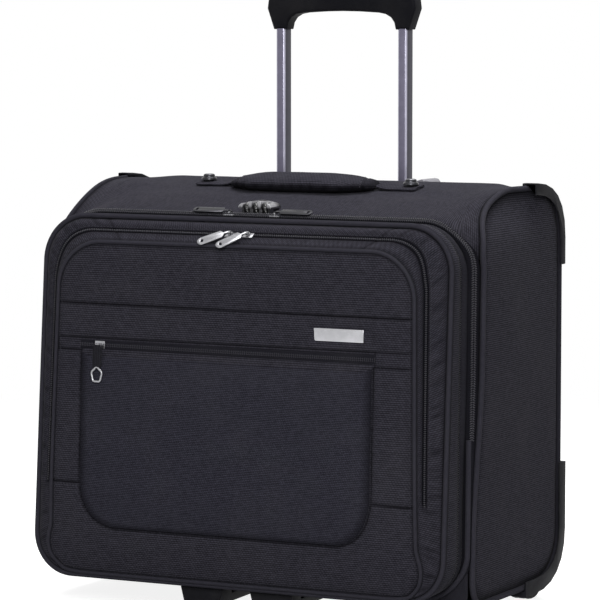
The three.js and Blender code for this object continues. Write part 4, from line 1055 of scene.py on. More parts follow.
def coverRelief(x, z):
    border = ringClosed(pocketOutline[0])
    edge = away(x, z, [border])[0]
    seams, along = away(x, z, seamLines)
    band = away(x, z, [bandLine])[0]
    patch = away(x, z, patchLines)[0]
    reach = coverSet["crownReach"]
    near = np.minimum(np.minimum(seams, band), np.minimum(edge, patch))
    ridge = coverSet["ridge"] * (1 - np.exp(-near / coverSet["ridgeReach"]))
    rise = coverSet["crown"] * (1 - np.exp(-near / reach)) + ridge
    rise = rise + 0.9 * smoothstep(edge, 0, 40) * (1 - smoothstep(z, 230, 290) * 0.4)
    rise = rise - coverSet["groove"] * np.exp(-(seams / coverSet["grooveReach"]) ** 2)
    rise = rise - coverSet["groove"] * 0.7 * np.exp(-(patch / coverSet["grooveReach"]) ** 2)
    pucker = 0.22 * np.exp(-seams / 5) * np.sin(along / 1.5 + 2.2 * np.sin(along / 13))
    pucker += 0.16 * np.exp(-edge / 6) * np.sin((x + z) / 1.7 + 1.5 * np.sin((x - z) / 21))
    # Recess for the slit zipper between the band above it and the welt below
    bandZ = np.interp(x, bandLine[:, 0], bandLine[:, 1])
    weltZ = np.interp(x, weltLine[:, 0], weltLine[:, 1])
    inSlit = (x > -157) & (x < 145.5) & (z < bandZ) & (z > weltZ)
    recess = np.where(inSlit, 1.6, 0)
    leftTab = (x <= -157) & (z < bandZ) & (z > 242)
    recess = np.where(leftTab, 0.9, recess)
    fold = 0.9 * np.exp(-np.maximum(z - bandZ, 0) / 5) * (z >= bandZ) * (edge > 2)
    # Wide soft unevenness, with the faint slack folds above the band
    loose = 0.55 * wander(x, z, 90, 5) + 0.25 * wander(x * 0.35, z, 26, 8) * smoothstep(z, 250, 330)
    loose += 0.3 * wander(x, z, 38, 11)
    loose = loose * (1 - np.exp(-near / 10))
    relief = rise + pucker + fold - recess + loose
    plateAway = np.hypot(np.maximum(np.abs(x - 117) - 25, 0), np.maximum(np.abs(z - 266.5) - 5.8, 0))
    return relief - (relief - 0.1) * np.exp(-plateAway / 3)


# Painted shade along the cover's seams, its edge, the band and the patch
def coverCrease(x, z):
    border = ringClosed(pocketOutline[0])
    edge = away(x, z, [border])[0]
    seams = away(x, z, seamLines)[0]
    band, patch = away(x, z, [bandLine])[0], away(x, z, patchLines)[0]
    dark = np.maximum(0.85 * np.exp(-(seams / 1.0) ** 2), 0.7 * np.exp(-edge / 1.4))
    return np.maximum(dark, 0.7 * np.exp(-(np.minimum(band, patch) / 0.9) ** 2))


def coverPoint(x, z, lift=0.0):
    x, z = np.asarray(x, float), np.asarray(z, float)
    points = pocketOutline[0]
    nearest = np.argmin((x[..., None] - points[:, 0]) ** 2 + (z[..., None] - points[:, 1]) ** 2, -1)
    base = np.interp(z, coverHeights, coverDepths)
    edge = np.hypot(x - points[nearest, 0], z - points[nearest, 1])
    shift = pocketEdge[nearest] - np.interp(points[nearest, 1], coverHeights, coverDepths)
    return base + shift * np.exp(-edge / 16) - coverRelief(x, z) - lift


def makeCover():
    points = pocketOutline[0]
    count = len(points)
    right = list(range(count // 2 + 1))
    middle = pocketShape["right"]
    heights, halves = points[right, 1], points[right, 0] - middle
    keep = [0]
    for k in range(1, len(right)):
        if heights[k] > heights[keep[-1]] + 0.35:
            keep.append(k)
    lowHalf = halves[max(k for k in right if heights[k] < heights[0] + 0.05)]
    highHalf = halves[min(k for k in right if heights[k] > heights.max() - 0.05)]
    rows = [(heights[0], lowHalf)]
    rows += [(heights[k], halves[k]) for k in keep[1:] if heights[k] < heights.max() - 0.05]
    rows.append((heights.max(), highHalf))
    fine = []
    for (z0, w0), (z1, w1) in zip(rows[:-1], rows[1:]):
        parts = max(1, int(math.ceil((z1 - z0) / 1.5)))
        fine += [(z0 + (z1 - z0) * k / parts, w0 + (w1 - w0) * k / parts) for k in range(parts)]
    fine.append(rows[-1])
    across = np.linspace(-1, 1, 241)
    z = np.array([r[0] for r in fine])[:, None] + 0 * across
    x = np.array([r[1] for r in fine])[:, None] * across + middle
    front = coverPoint(x, z)
    thick = coverSet["thick"]
    n, m = x.shape
    frontPoints = np.stack([x, front, z], -1).reshape(-1, 3)
    backPoints = np.stack([x, front + thick, z], -1).reshape(-1, 3)
    backPoints[:, 1] = np.interp(backPoints[:, 2], coverHeights, coverDepths) + thick
    faces, corners = [], []

    def quad(a, b, c, d, flats):
        faces.append([a, b, c, d])
        corners.extend(flats)

    for i in range(n - 1):
        for j in range(m - 1):
            ring = [(i, j), (i, j + 1), (i + 1, j + 1), (i + 1, j)]
            quad(*[p * m + q for p, q in ring], [(x[p, q], z[p, q]) for p, q in ring])
            quad(*[n * m + p * m + q for p, q in ring[::-1]], [(x[p, q], z[p, q]) for p, q in ring[::-1]])
    border = [(0, j) for j in range(m)] + [(i, m - 1) for i in range(1, n)]
    border += [(n - 1, j) for j in range(m - 2, -1, -1)] + [(i, 0) for i in range(n - 2, 0, -1)]
    for a, b in zip(border, border[1:] + border[:1]):
        ka, kb = a[0] * m + a[1], b[0] * m + b[1]
        quad(ka, n * m + ka, n * m + kb, kb, [(x[a], z[a]), (x[a] + 3, z[a]), (x[b] + 3, z[b]), (x[b], z[b])])
    dark = coverCrease(x, z).ravel()
    piece = makePiece(
        "cover_cloth", np.vstack([frontPoints, backPoints]), faces, "ballistic", "pocket", ("pocket_cover",),
        corners, 60, paintedShade=np.concatenate([dark, dark]),
    )


def coverStitch(line):
    x, z = line[:, 0], line[:, 1]
    y = coverPoint(x, z, coverSet["stitchLift"])
    return [(a, b, c, 0.0, -1.0, 0.05) for a, b, c in zip(x, y, z)]


# Faces and map of a closed pad: outer rings, then inner ones, joined at the rim
def padFaces(points, rings, count, axes):
    total, faces = rings * count, []
    for k in range(rings - 1):
        for i in range(count):
            a, b = k * count + i, k * count + (i + 1) % count
            faces.append([a, b, b + count, a + count])
            faces.append([total + a + count, total + b + count, total + b, total + a])
    last = [(rings - 1) * count + i for i in range(count)]
    faces += [last, [total + v for v in last][::-1]]
    faces += [[(i + 1) % count, i, total + i, total + (i + 1) % count] for i in range(count)]
    return faces, [(points[v][axes[0]], points[v][axes[1]]) for face in faces for v in face]


# The padded panel of finer twill, over the cover's lower middle
panelSet = {
    "centre": (-6, 160.0), "inset": 1.3, "rings": 34, "rise": 2.4, "reach": 12, "lift": 0.5, "base": 2.2, "back": 0.2,
}


def insideLoop(line, distance):
    points, normals = withNormals(line)
    return points - normals * distance


def makePanel():
    upper = seamPart(coverSet["welt"][0] - 1.2, coverSet["welt"][1] - 1.2, 144.5, -156, 60)
    loop = evenly(np.vstack([panelLine(), upper[1:-1]]), 3.0)
    loop = insideLoop(loop, panelSet["inset"])
    centre = np.array(panelSet["centre"])
    rings, count = panelSet["rings"], len(loop)
    points, dark = [], []
    for k in range(rings):
        share = 1 - (k / rings) ** 0.8 * 0.96
        ring = centre + (loop - centre) * share
        gap = away(ring[:, 0], ring[:, 1], [ringClosed(loop)])[0]
        rise = panelSet["rise"] * (1 - np.exp(-gap / panelSet["reach"])) - 0.9 * np.exp(-(gap / 0.8) ** 2)
        rise = rise + 0.3 * wander(ring[:, 0], ring[:, 1], 60, 21) * (1 - np.exp(-gap / 12))
        base = np.interp(ring[:, 1], coverHeights, coverDepths) - panelSet["base"]
        depth = base - panelSet["lift"] - rise
        points.append(np.stack([ring[:, 0], depth, ring[:, 1]], 1))
        # Painted shade along the panel's border seam
        dark.append(0.7 * np.exp(-(gap / 0.9) ** 2))
    front = np.vstack(points)
    back = [p.copy() for p in points]
    for ring in back:
        ring[:, 1] = np.interp(ring[:, 2], coverHeights, coverDepths) - panelSet["back"]
    everything = np.vstack([front] + back)
    faces, corners = padFaces(everything, rings, count, (0, 2))
    piece = makePiece(
        "slit_pocket_panel", everything, faces, "twill", "pocket", (), corners, 60,
        paintedShade=np.array(dark + dark),
    )


# Section of the slit's tape: out and up from its middle
slitTape = ((-0.1, 4.4), (-0.5, 3.9), (-0.6, 0.9), (-0.6, -0.9), (-0.5, -3.9), (-0.1, -4.4), (0.8, 0))


def makeSlit():
    x = np.linspace(-156.5, 145, 120)
    z = np.interp(x, [-156.5, 145], [246.9, 246.0])
    y = coverPoint(x, z)
    rows = []
    for a, b, c in zip(x, y, z):
        rows.append([(a, b + out, c + up) for out, up in slitTape])
    skin("slit_tape", rows, "tape", "pocket", (), closedAlong=False)
    for i, offset in enumerate((0.85, -0.85)):
        line = [(a, b - 0.85, c + offset, 0, -1, 0) for a, b, c in zip(x, y, z)]
        rowsAlong("slit_teeth_" + str(i + 1), [line], "thread", "pocket", "slitTeeth", (0.35, -0.35)[i])


def makeCoverStitches():
    lines = []
    for seam in (seamPart(coverSet["seamA"][0] - 2.2, coverSet["seamA"][1] - 2.2, -173, 173, 140),
                 seamPart(coverSet["seamB"] + 2.2, coverSet["seamB"] + 1.8, -174, 174, 140)):
        lines.append(coverStitch(seam))
    lines.append(coverStitch(np.array([(151.4, z) for z in np.linspace(240, 251, 12)])))
    for side in ([(-179, 116.3), (-158, 115.9)], [(146.5, 115.3), (179, 114.4)]):
        lines.append(
            coverStitch(np.array([np.array(side[0]) + (np.array(side[1]) - side[0]) * k / 20 for k in range(21)]))
        )
    outline = insideLoop(pocketOutline[0], 2.4)
    lines.append(coverStitch(ringClosed(outline)))
    rowsAlong("cover_stitches", lines, "thread", "pocket", "cover")


# Gusset of the pocket: zipper strip, narrow strip and puckered wall
pocketGussetSet = {
    "zipSide": 0.68, "zipTop": 0.5, "half": 0.036, "pucker": 1.5, "swell": 0.11, "zipEnd": 117,
    "joints": (-118, 128),
}


def makePocketGusset():
    g = pocketGussetSet
    lidPoints, lidNormals = lidOutline
    points, normals = pocketOutline
    start = lidPoints - lidNormals * 3.4
    end = points + normals * 2.6
    startY = sectionShape["lean"] * (start[:, 1] - caseShape["level"]) - sectionShape["depth"] - 0.6
    endY = pocketEdge + 1.6
    run = np.concatenate([[0], np.cumsum(np.linalg.norm(np.diff(points, axis=0), axis=1))])
    rows, dark, teeth, stitches = [], [], [], []
    for k in range(len(points)):
        width = math.hypot(*(end[k] - start[k]))
        s, (px, pz) = run[k], points[k]
        high = float(smoothstep(pz, g["zipEnd"] - 5, g["zipEnd"] + 5))
        middle = float(smoothstep(abs(px), 112, 122)) if pz > 300 else 1.0
        zipper = g["zipSide"] + (g["zipTop"] - g["zipSide"]) * float(smoothstep(lidNormals[k][1], 0.2, 0.9))
        half = g["half"]
        shares = np.concatenate([
            np.linspace(0, zipper - 2.5 * half, 12),
            [zipper - 2 * half, zipper - half, zipper + half, zipper + 2 * half],
            [zipper + 3.5 * half, (zipper + 3.5 * half + 1) / 2, 1.0],
        ])
        wallEnd = 1 + (shares[11] - 1) * high
        joint = sum(math.exp(-((px - x0) / 1.3) ** 2) for x0 in g["joints"]) if pz > 300 else 0
        row, paintedShadeTones = [], []
        for i, share in enumerate(shares):
            wall = math.sin(math.pi * min(1, share / wallEnd))
            swell = g["swell"] * min(width, 24) * wall
            fine = math.sin(s / 1.55 + 2 * math.sin(s / 9) + share * 1.2)
            wide = math.sin(s / 3.4 + 1.6 * math.sin(s / 15.0))
            fold = wall * middle * (0.5 * fine + 0.5 * wide)
            seam = high * (0.9 * (i in (12, 15)) + 0.4 * (i in (13, 14)))
            out = swell + (0.45 * g["pucker"] * fold - seam - 0.8 * joint) * min(1, width / 14)
            x, z = start[k] + (end[k] - start[k]) * share
            y = startY[k] + (endY[k] - startY[k]) * share
            slope = math.atan2(endY[k] - startY[k], width + 1e-6)
            nx, nz = lidNormals[k] * 0.5 + normals[k] * 0.5
            lean = abs(math.sin(slope))
            row.append((x + nx * out * lean, y - out * abs(math.cos(slope)), z + nz * out * lean))
            # Painted shade at the gusset's seamed edges, beside the zipper, at the joints and in the fold valleys
            edge = math.exp(-share / 0.05) + math.exp(-(1 - share) / 0.05)
            beside = 0.9 if i in (12, 15) else 0.4 if i in (11, 13, 14, 16) else 0
            paintedShadeTones.append(min(1, 0.85 * edge + high * beside + 0.6 * joint + 0.6 * max(0, -fold)))
        if pz > g["zipEnd"]:
            nx, nz = normals[k]
            spot = (np.array(row[13]) + row[14]) / 2
            teeth.append((spot[0] + nx * 0.2, spot[1] - 0.5, spot[2] + nz * 0.2, nx * 0.6, -0.8, nz * 0.6))
            stitches.append((row[10][0], row[10][1] - 0.3, row[10][2], nx * 0.6, -0.8, nz * 0.6))
        row += [(x - nx * 1.5, y + 2.6, z - nz * 1.5) for x, y, z in row[::-2]]
        rows.append(row)
        dark.append(paintedShadeTones + [0.8] * (len(row) - len(paintedShadeTones)))
    piece = skin(
        "pocket_gusset_cloth", rows, ["ballistic", "tape"], "lid", ("pocket_gusset",), turn=True,
        paintedShade=np.array(dark),
        lookOf=lambda i, j: 1 if 12 <= j <= 14 and points[i % len(points)][1] > g["zipEnd"] else 0,
    )
    rowsAlong("pocket_zipper_teeth", [teeth], "coil", "lid", "pocketTeeth")
    rowsAlong("pocket_gusset_stitches", [stitches], "thread", "lid", "pocketSeam")


makeCover()
makePanel()
makeSlit()
makeCoverStitches()
makePocketGusset()
print("pocket made")

# Rear body's outline from the side, anticlockwise seen from the right


def topCurves(frontSteps, rearSteps):
    top, corner, rear = caseShape["top"], caseShape["cornerTop"], caseShape["rear"]
    front = rimY(corner)
    return (
        cubic((front, corner), (front + 3, corner + 30), (52, top - 1), (100, top), frontSteps),
        cubic((132, top), (168, top - 1), (rear, 376), (rear, 342), rearSteps),
    )


def sideOutline(spacing):
    s = caseShape
    toe = s["bottom"] + s["toe"]
    line = [np.array([(rimY(toe), toe), (rimY(s["cornerTop"]), s["cornerTop"])]), *topCurves(24, 20)]
    line.append(cubic((193, 68), (193, 38), (171, 21), (129, 21), 20))
    low = rimY(toe)
    a, b, c = np.array([low + s["toe"], s["bottom"]]), np.array([low, s["bottom"]]), np.array([low, toe])
    t = np.linspace(0, 1, 12)[:, None]
    line.append(((1 - t) ** 2 * a + 2 * (1 - t) * t * b + t * t * c)[:-1])
    return withNormals(evenly(np.vstack(line), spacing))


bodySet = {
    "pipeRadius": 2.7, "pipeX": 217.0, "pipeOut": -0.9, "rings": 30, "panelX": 214, "panelThick": 3.2, "crown": 1.6,
    "panelInset": 3.4, "centre": (100, 205.0),
}


def makeSides():
    outline = sideOutline(3)
    points, normals = outline
    count = len(points)
    for side, sign in sides.items():
        rows = []
        for (y, z), (ny, nz) in zip(points, normals):
            row = []
            wide, back = bulgeMoves(sign, y, z)
            for k in range(cordSet["sides"]):
                angle = 2 * math.pi * k / cordSet["sides"]
                out = bodySet["pipeOut"] + bodySet["pipeRadius"] * math.cos(angle)
                place = sign * (bodySet["pipeX"] + bodySet["pipeRadius"] * math.sin(angle))
                row.append((place + wide, y + back + ny * out, z + nz * out))
            rows.append(row)
        # Painted shade where the side cord turns away
        dark = cordCreases(count, cordSet["sides"], math.pi / 4)
        skin(
            "side_cord_" + side, rows, "cord", "case", ("side_piping_" + side,), slot="trim_fabric",
            paintedShade=dark * 0.6,
        )

        loop = points - normals * bodySet["panelInset"]
        centre = np.array(bodySet["centre"])
        rings = bodySet["rings"]
        layers, inner, dark = [], [], []
        for k in range(rings):
            ring = centre + (loop - centre) * (1 - (k / rings) ** 0.85 * 0.97)
            gap = away(ring[:, 0], ring[:, 1], [ringClosed(loop)])[0]
            rise = bodySet["panelThick"] + bodySet["crown"] * (1 - np.exp(-gap / 14)) - 1.3 * np.exp(-(gap / 2.2) ** 2)
            rise += 0.5 * wander(ring[:, 0] * 1.6, ring[:, 1], 120, 31 + sign) * (1 - np.exp(-gap / 25))
            rise += 0.14 * np.exp(-gap / 7) * np.sin((ring[:, 0] + ring[:, 1]) / 2.1)
            wide, back = bulgeMoves(sign, ring[:, 0], ring[:, 1])
            layers.append(np.stack([sign * (bodySet["panelX"] + rise) + wide, ring[:, 0] + back, ring[:, 1]], 1))
            inner.append(np.stack([sign * (bodySet["panelX"] + 0.1) + wide, ring[:, 0] + back, ring[:, 1]], 1))
            # Painted shade along the side panel's border seam
            dark.append(0.85 * np.exp(-gap / 2.2))
        everything = np.vstack(layers + inner)
        faces, corners = padFaces(everything, rings, count, (1, 2))
        piece = makePiece(
            "side_cloth_" + side, everything, faces, "ballistic", "case", ("side_panel_" + side,),
            corners, 60, paintedShade=np.array(dark + dark),
        )


topSet = {
    "half": 213.7, "stations": 150, "wall": 4.4, "steps": 84, "archFrom": 165, "archTo": 196,
    "holes": {"bezel_hole": (-98.3, 98.3, 158.7, 191.3, 370.2, 402), "lock_hole": (-23.3, 7.3, 8.7, 23.3, 340, 400)},
    "middle": [
        (18, 370), (32, 374.4), (46, 378.4), (60, 382), (78, 385.3), (98, 389), (135, 393), (156, 393.5),
        (170, 392), (181, 387.5), (188, 379.5), (192, 367), (193, 352), (193, 317),
    ],
}


def topLine(x):
    s = caseShape
    radius, half = sectionShape["topRadius"], sectionShape["topHalf"]
    past = min(max(0, abs(x) - (half - radius)), radius - 1.5)
    rim = max(sectionShape["top"] - radius + math.sqrt(radius ** 2 - past ** 2), s["cornerTop"])
    frontShare = (sectionShape["top"] - rim) / (sectionShape["top"] - s["cornerTop"])
    rearShare = float(smoothstep(abs(x), topSet["archFrom"], topSet["archTo"]))
    front, rear = topCurves(6, 6)
    arch = np.vstack([front[1:], rear, [(s["rear"], 317)]])
    middle = np.array(topSet["middle"], float)
    line = [(rimY(rim), rim)]
    for i in range(len(middle)):
        share = frontShare + (rearShare - frontShare) * min(1, i / 6)
        line.append(middle[i] + (arch[i] - middle[i]) * (share if abs(x) < topSet["archTo"] else 1))
    return np.array(line)


def smoothLine(points, steps):
    points = np.array(points, float)
    ends = np.vstack([2 * points[0] - points[1], points, 2 * points[-1] - points[-2]])
    out = []
    for i in range(1, len(ends) - 2):
        p0, p1, p2, p3 = ends[i - 1:i + 3]
        for t in np.linspace(0, 1, steps, endpoint=False):
            curve = (2 * p0 - 5 * p1 + 4 * p2 - p3) * t * t
            out.append(0.5 * (2 * p1 + (p2 - p0) * t + curve + (3 * p1 - p0 - 3 * p2 + p3) * t ** 3))
    out.append(points[-1])
    return np.array(out)


def topSurface(x):
    return evenly(smoothLine(topLine(x), 6), 1, closed=False)


def boxCutter(name, x0, x1, y0, y1, z0, z1):
    shell = bmesh.new()
    bmesh.ops.create_cube(shell, size=1)
    for v in shell.verts:
        v.co = at(*[low + (high - low) * (c + 0.5) for c, low, high in zip(v.co, (x0, y0, z0), (x1, y1, z1))])
    mesh = bpy.data.meshes.new(name)
    shell.to_mesh(mesh)
    shell.free()
    cutter = addObject(name, mesh)
    return cutter


def makeTop():
    half = topSet["half"]
    edges = np.concatenate([
        np.linspace(-half, -150, 40), np.linspace(-150, 150, topSet["stations"])[1:-1], np.linspace(150, half, 40),
    ])
    rows, dark = [], []
    for x in edges:
        line = smoothLine(topLine(x), 6)
        line = np.stack(
            [np.interp(np.linspace(0, 1, topSet["steps"]), np.linspace(0, 1, len(line)), line[:, k]) for k in (0, 1)],
            1,
        )
        way = np.gradient(line, axis=0)
        way /= np.linalg.norm(way, axis=1)[:, None]
        out = np.stack([-way[:, 1], way[:, 0]], 1)
        y, z = line[:, 0], line[:, 1]
        loose = 0.35 * wander(np.full(len(y), x), y * 1.4 + z * 0.5, 70, 41) * smoothstep(half - abs(x), 0, 20)
        inner = line - out * topSet["wall"]
        outer = line + out * (loose - 0.3)[:, None]
        row = np.array([(x, a, b) for a, b in outer] + [(x, max(a, rimY(b) + 0.3), b) for a, b in inner[::-1]])
        wide, back = bulgeMoves(math.copysign(1, x), row[:, 1], row[:, 2])
        share = smoothstep(abs(x), 160, 213)
        row += np.stack([wide * share, back * share, 0 * wide], 1)
        rows.append(row)
        # Painted shade at the top's side edges, along its front edge by the rim, and on its hidden inner face
        edge = 0.8 * math.exp(-(half - abs(x)) / 2) + 0.5 * np.exp(-np.arange(len(outer)) / 2.5)
        dark.append(np.concatenate([edge, np.full(len(inner), 0.8)]))
    piece = skin("top_cloth", rows, "ballistic", None, (), closedAlong=False, turn=True, paintedShade=np.array(dark))
    cutters = [boxCutter(name, *size) for name, size in topSet["holes"].items()]
    for cutter in cutters:
        modifier = piece.modifiers.new("hole", "BOOLEAN")
        modifier.operation, modifier.solver, modifier.object = "DIFFERENCE", "EXACT", cutter
    made = evaluatedMesh(piece)
    piece.modifiers.clear()
    piece.data = made
    made.set_sharp_from_angle(angle=math.radians(50))
    for cutter in cutters:
        bpy.data.objects.remove(cutter)
    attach(piece, "case")
    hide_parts("top_panel")


backSet = {
    "top": 316.6, "bottom": 71.4, "half": 213.4, "outer": 192.6, "inner": 188.7, "cord": 1.3,
    "rows": 84, "columns": 140,
}


def makeBack():
    top, bottom, half = backSet["top"], backSet["bottom"], backSet["half"]
    heights = np.concatenate([[bottom], np.linspace(bottom + 2, top - 2, backSet["rows"]), [top]])
    rows = []
    for x in np.linspace(-half, half, backSet["columns"]):
        row = []
        for z in heights:
            edge = min(half - abs(x), z - bottom, top - z)
            rise = 1.2 * (1 - math.exp(-edge / 12)) - 0.4
            rise += 0.35 * float(wander(np.array(x), np.array(z), 100, 51)) * (1 - math.exp(-edge / 20))
            row.append((x, backSet["outer"] + rise, z))
        rows.append(row + [(x, backSet["inner"], z) for z in heights[::-4]])
    piece = skin("back_cloth", rows, "ballistic", "case", ("back_panel",), closedAlong=False, turn=True)
    for i, z in enumerate((71.4, 316.8)):
        ring = [(caseShape["rear"] + backSet["cord"] * math.cos(a), z + backSet["cord"] * math.sin(a))
                for a in np.linspace(0, 2 * math.pi, 8, endpoint=False)]
        line = [[(x, *spot) for spot in ring] for x in np.linspace(-half, half, 60)]
        skin("back_cord_" + str(i + 1), line, "cord", "case", (), closedAlong=False, slot="trim_fabric")


makeSides()
makeTop()
makeBack()
print("rear body made")

# Turned pieces; each angle's section is given as (radius, offset along the axis)
def turned(name, sectionAt, centre, axis, steps, looks, body, replaced=(), slot="black_plastic", lookOf=None, sharp=40):
    u, v, w = {"x": ((0, 1, 0), (0, 0, 1), (1, 0, 0)), "z": ((1, 0, 0), (0, 1, 0), (0, 0, 1))}[axis]
    u, v, w, centre = (np.array(c, float) for c in (u, v, w, centre))
    rows = []
    for k in range(steps):
        angle = 2 * math.pi * k / steps
        rows.append([centre + (u * math.cos(angle) + v * math.sin(angle)) * r + w * o for r, o in sectionAt(angle)])
    return skin(name, rows, looks, body, replaced, slot, sharp=sharp, lookOf=lookOf)


# A node's box in the source's millimetres
def span(node):
    low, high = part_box(node)
    return [(low.x / mm, high.x / mm), ((low.y - rimShift) / mm, (high.y - rimShift) / mm), (low.z / mm, high.z / mm)]


# Padded pieces swell like stuffed cloth: voxel skin, cloth under pressure, capped movement
def swell(points, faces, voxel, pressure, cap, frames=20):
    mesh = bpy.data.meshes.new("stuffing")
    mesh.from_pydata((np.array(points, float) * mm).tolist(), [], faces)
    body = addObject("stuffing", mesh)
    remesh = body.modifiers.new("voxels", "REMESH")
    remesh.mode, remesh.voxel_size = "VOXEL", voxel * mm
    even = evaluatedMesh(body)
    body.modifiers.clear()
    body.data = even
    start = np.array([v.co for v in even.vertices])
    cloth = body.modifiers.new("cloth", "CLOTH")
    cloth.settings.use_pressure = True
    cloth.settings.uniform_pressure_force = pressure
    cloth.settings.effector_weights.gravity = 0
    cloth.settings.quality = 5
    cloth.point_cache.frame_end = frames
    for step in range(1, frames + 1):
        scene.frame_set(step)
    done = evaluatedMesh(body)
    end = np.array([v.co for v in done.vertices])
    scene.frame_set(1)
    body.modifiers.clear()
    move = end - start
    size = np.linalg.norm(move, axis=1)[:, None]
    end = start + move * np.minimum(1, cap * mm / np.maximum(size, 1e-9))
    for vertex, co in zip(done.vertices, end):
        vertex.co = co
    body.data = done
    finer = body.modifiers.new("finer", "SUBSURF")
    finer.levels = finer.render_levels = 1
    done = evaluatedMesh(body)
    bpy.data.objects.remove(body)
    return np.array([v.co for v in done.vertices]) / mm, [list(p.vertices) for p in done.polygons]


# The weave's map laid flat from the side that each face looks to
def flatCorners(points, faces):
    corners = []
    for face in faces:
        ring = points[face]
        normal = np.abs(np.cross(ring[1] - ring[0], ring[2] - ring[0]))
        a, b = ((1, 2), (0, 2), (0, 1))[int(np.argmax(normal))]
        corners += [(p[a], p[b]) for p in ring]
    return corners


def topHeight(y):
    line = topSurface(0)
    return float(np.interp(y, line[:, 0], line[:, 1])) if y < 180 else 380.0


gripSet = {
    "half": 76, "front": 65, "rear": 107, "height": 13.0, "voxel": 3.6, "pressure": 5.0, "cap": 2.2,
    "strapEnd": 115.6, "strapHalf": 11.8, "strapMiddle": 100, "strapThick": 2.3,
}


def makeCarryHandle():
    stations, ringSteps = 60, 28
    rows = []
    for x in np.linspace(-gripSet["half"], gripSet["half"], stations):
        end = gripSet["half"] - abs(x)
        opening = min(1, end / 30) ** 0.5 if end < 30 else 1
        front = gripSet["front"] + (1 - opening) * 19 + 1.4
        rear = gripSet["rear"] - (1 - min(1, end / 14) ** 0.6) * 4 - 1.4
        height = gripSet["height"] * (0.55 + 0.45 * opening) - 1.2
        row = []
        for k in range(ringSteps):
            angle = 2 * math.pi * k / ringSteps
            c, s = math.cos(angle), math.sin(angle)
            across = math.copysign(abs(c) ** 0.55, c)
            upward = math.copysign(abs(s) ** 0.6, s)
            y = (front + rear) / 2 + across * (rear - front) / 2
            low = topHeight(y) + 1.1
            row.append((x, y, low + (height - 1.1) * (0.5 + 0.5 * upward)))
        rows.append(row)
    rows = np.array(rows)
    points = rows.reshape(-1, 3)
    faces = []
    for i in range(stations - 1):
        for j in range(ringSteps):
            a, b, right = i * ringSteps, (i + 1) * ringSteps, (j + 1) % ringSteps
            faces.append([a + j, b + j, b + right, a + right])
    faces += [list(range(ringSteps))[::-1], [(stations - 1) * ringSteps + j for j in range(ringSteps)]]
    points, faces = swell(points, faces, gripSet["voxel"], gripSet["pressure"], gripSet["cap"])
    x, y, z = points[:, 0], points[:, 1], points[:, 2]
    floor = np.interp(y, topSurface(0)[:, 0], topSurface(0)[:, 1])
    rise = z - floor
    low = smoothstep(80 - y, 0, 12) * smoothstep(rise, 0, 4) * (1 - smoothstep(rise, 6, 11))
    folds = 0.55 * np.sin(x / 1.9 + 1.7 * np.sin(x / 11)) * low
    collar = np.exp(-((np.abs(x + 0.25 * (y - 85)) - 66) / 1.3) ** 2) * 0.9
    points[:, 2] = np.maximum(z - collar * smoothstep(rise, 4, 9) + 0.3 * wander(x, y, 40, 61), floor + 0.4)
    # Painted shade under the grip's lower front, at its collar seams and in its fold valleys
    under = 0.75 * (1 - smoothstep(rise, 6.5, 11)) + 0.5 * collar + 0.3 * np.clip(-folds, 0, 1)
    points[:, 1] = np.clip(y - folds + collar * smoothstep(78 - y, 0, 8), gripSet["front"] - 1.5, gripSet["rear"] + 1)
    piece = makePiece("carry_grip_pad", points, faces, "ballistic", "carry_handle", ("carry_grip",),
                      flatCorners(points, faces), 80, paintedShade=under)
    seam = []
    for side in (1, -1):
        line = []
        for y in np.linspace(74, 106, 30):
            x = side * 63.5 - 0.25 * (y - 85)
            near = np.argmin((points[:, 0] - x) ** 2 + (points[:, 1] - y) ** 2 - points[:, 2] * 0.4)
            line.append((x, y, points[near, 2] + 0.1, 0, 0, 1))
        seam.append(line)
    rowsAlong("carry_grip_stitches", seam, "thread", "carry_handle", "grip")

    strapStart, strapEnd, middle = gripSet["half"] + 1.2, gripSet["strapEnd"], gripSet["strapMiddle"]
    for side, sign in sides.items():
        rows = []
        for x in np.linspace(strapStart - 1, strapEnd, 26):
            share = (x - strapStart) / (strapEnd - strapStart)
            half = gripSet["strapHalf"] - 1.5 * max(0, share - 0.92) / 0.08
            lift = 0.35 + 2.0 * max(0, 1 - share * 3.2) ** 2
            upper, lower = [], []
            for k in range(13):
                y = middle - half + 2 * half * k / 12
                edge = min(k, 12 - k)
                base = topHeight(y)
                rise = base + lift + gripSet["strapThick"] - (0.7 if edge == 0 else 0)
                upper.append((sign * x, y, rise + 0.12 * math.sin(k * 1.7)))
                lower.append((sign * x, y, base + lift + (0.5 if edge == 0 else 0)))
            rows.append(upper + lower[::-1])
        strap = skin(
            "carry_strap_web_" + side, rows, "ballistic", None, ("carry_strap_" + side,), slot="webbing",
            closedAlong=False,
        )
        start, end = (tuple(at(sign * x, middle, 390)) for x in (99, 78))
        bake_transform(strap)

        (x0, x1), (y0, y1), (z0, z1) = span("handle_stud_" + side)
        centre = ((x0 + x1) / 2, (y0 + y1) / 2, z0)
        height, radius = z1 - z0, (x1 - x0) / 2
        profile = [
            (0.05, 0), (radius, 0), (radius, 1.2), (radius - 0.4, 2.0), (radius - 0.8, 2.3), (radius - 1.6, 2.6),
            (radius - 1.9, height - 1.2), (radius - 2.6, height - 0.3), (radius - 3.6, height),
            (radius - 4.4, height - 0.5), (0.05, height - 0.7),
        ]
        # Painted highlight: a band of bright plating on the cap's top rim, the rest in dark plating
        turned(
            "stud_cap_" + side, lambda angle: profile, centre, "z", 40, ["bright", "dark"], "case",
            ("handle_stud_" + side,), "dark_metal", lookOf=lambda i, j: 0 if j == 7 else 1,
        )


# Painted light on the inner tube by face direction: lit front and back, shaded sides, highlight on the tops and rounded
# edges
def faceLook(polygon):
    normal = polygon.normal
    if abs(normal.z) > 0.7:
        return 2
    if abs(normal.x) > 0.93:
        return 1
    return 0 if abs(normal.y) > 0.93 else 2


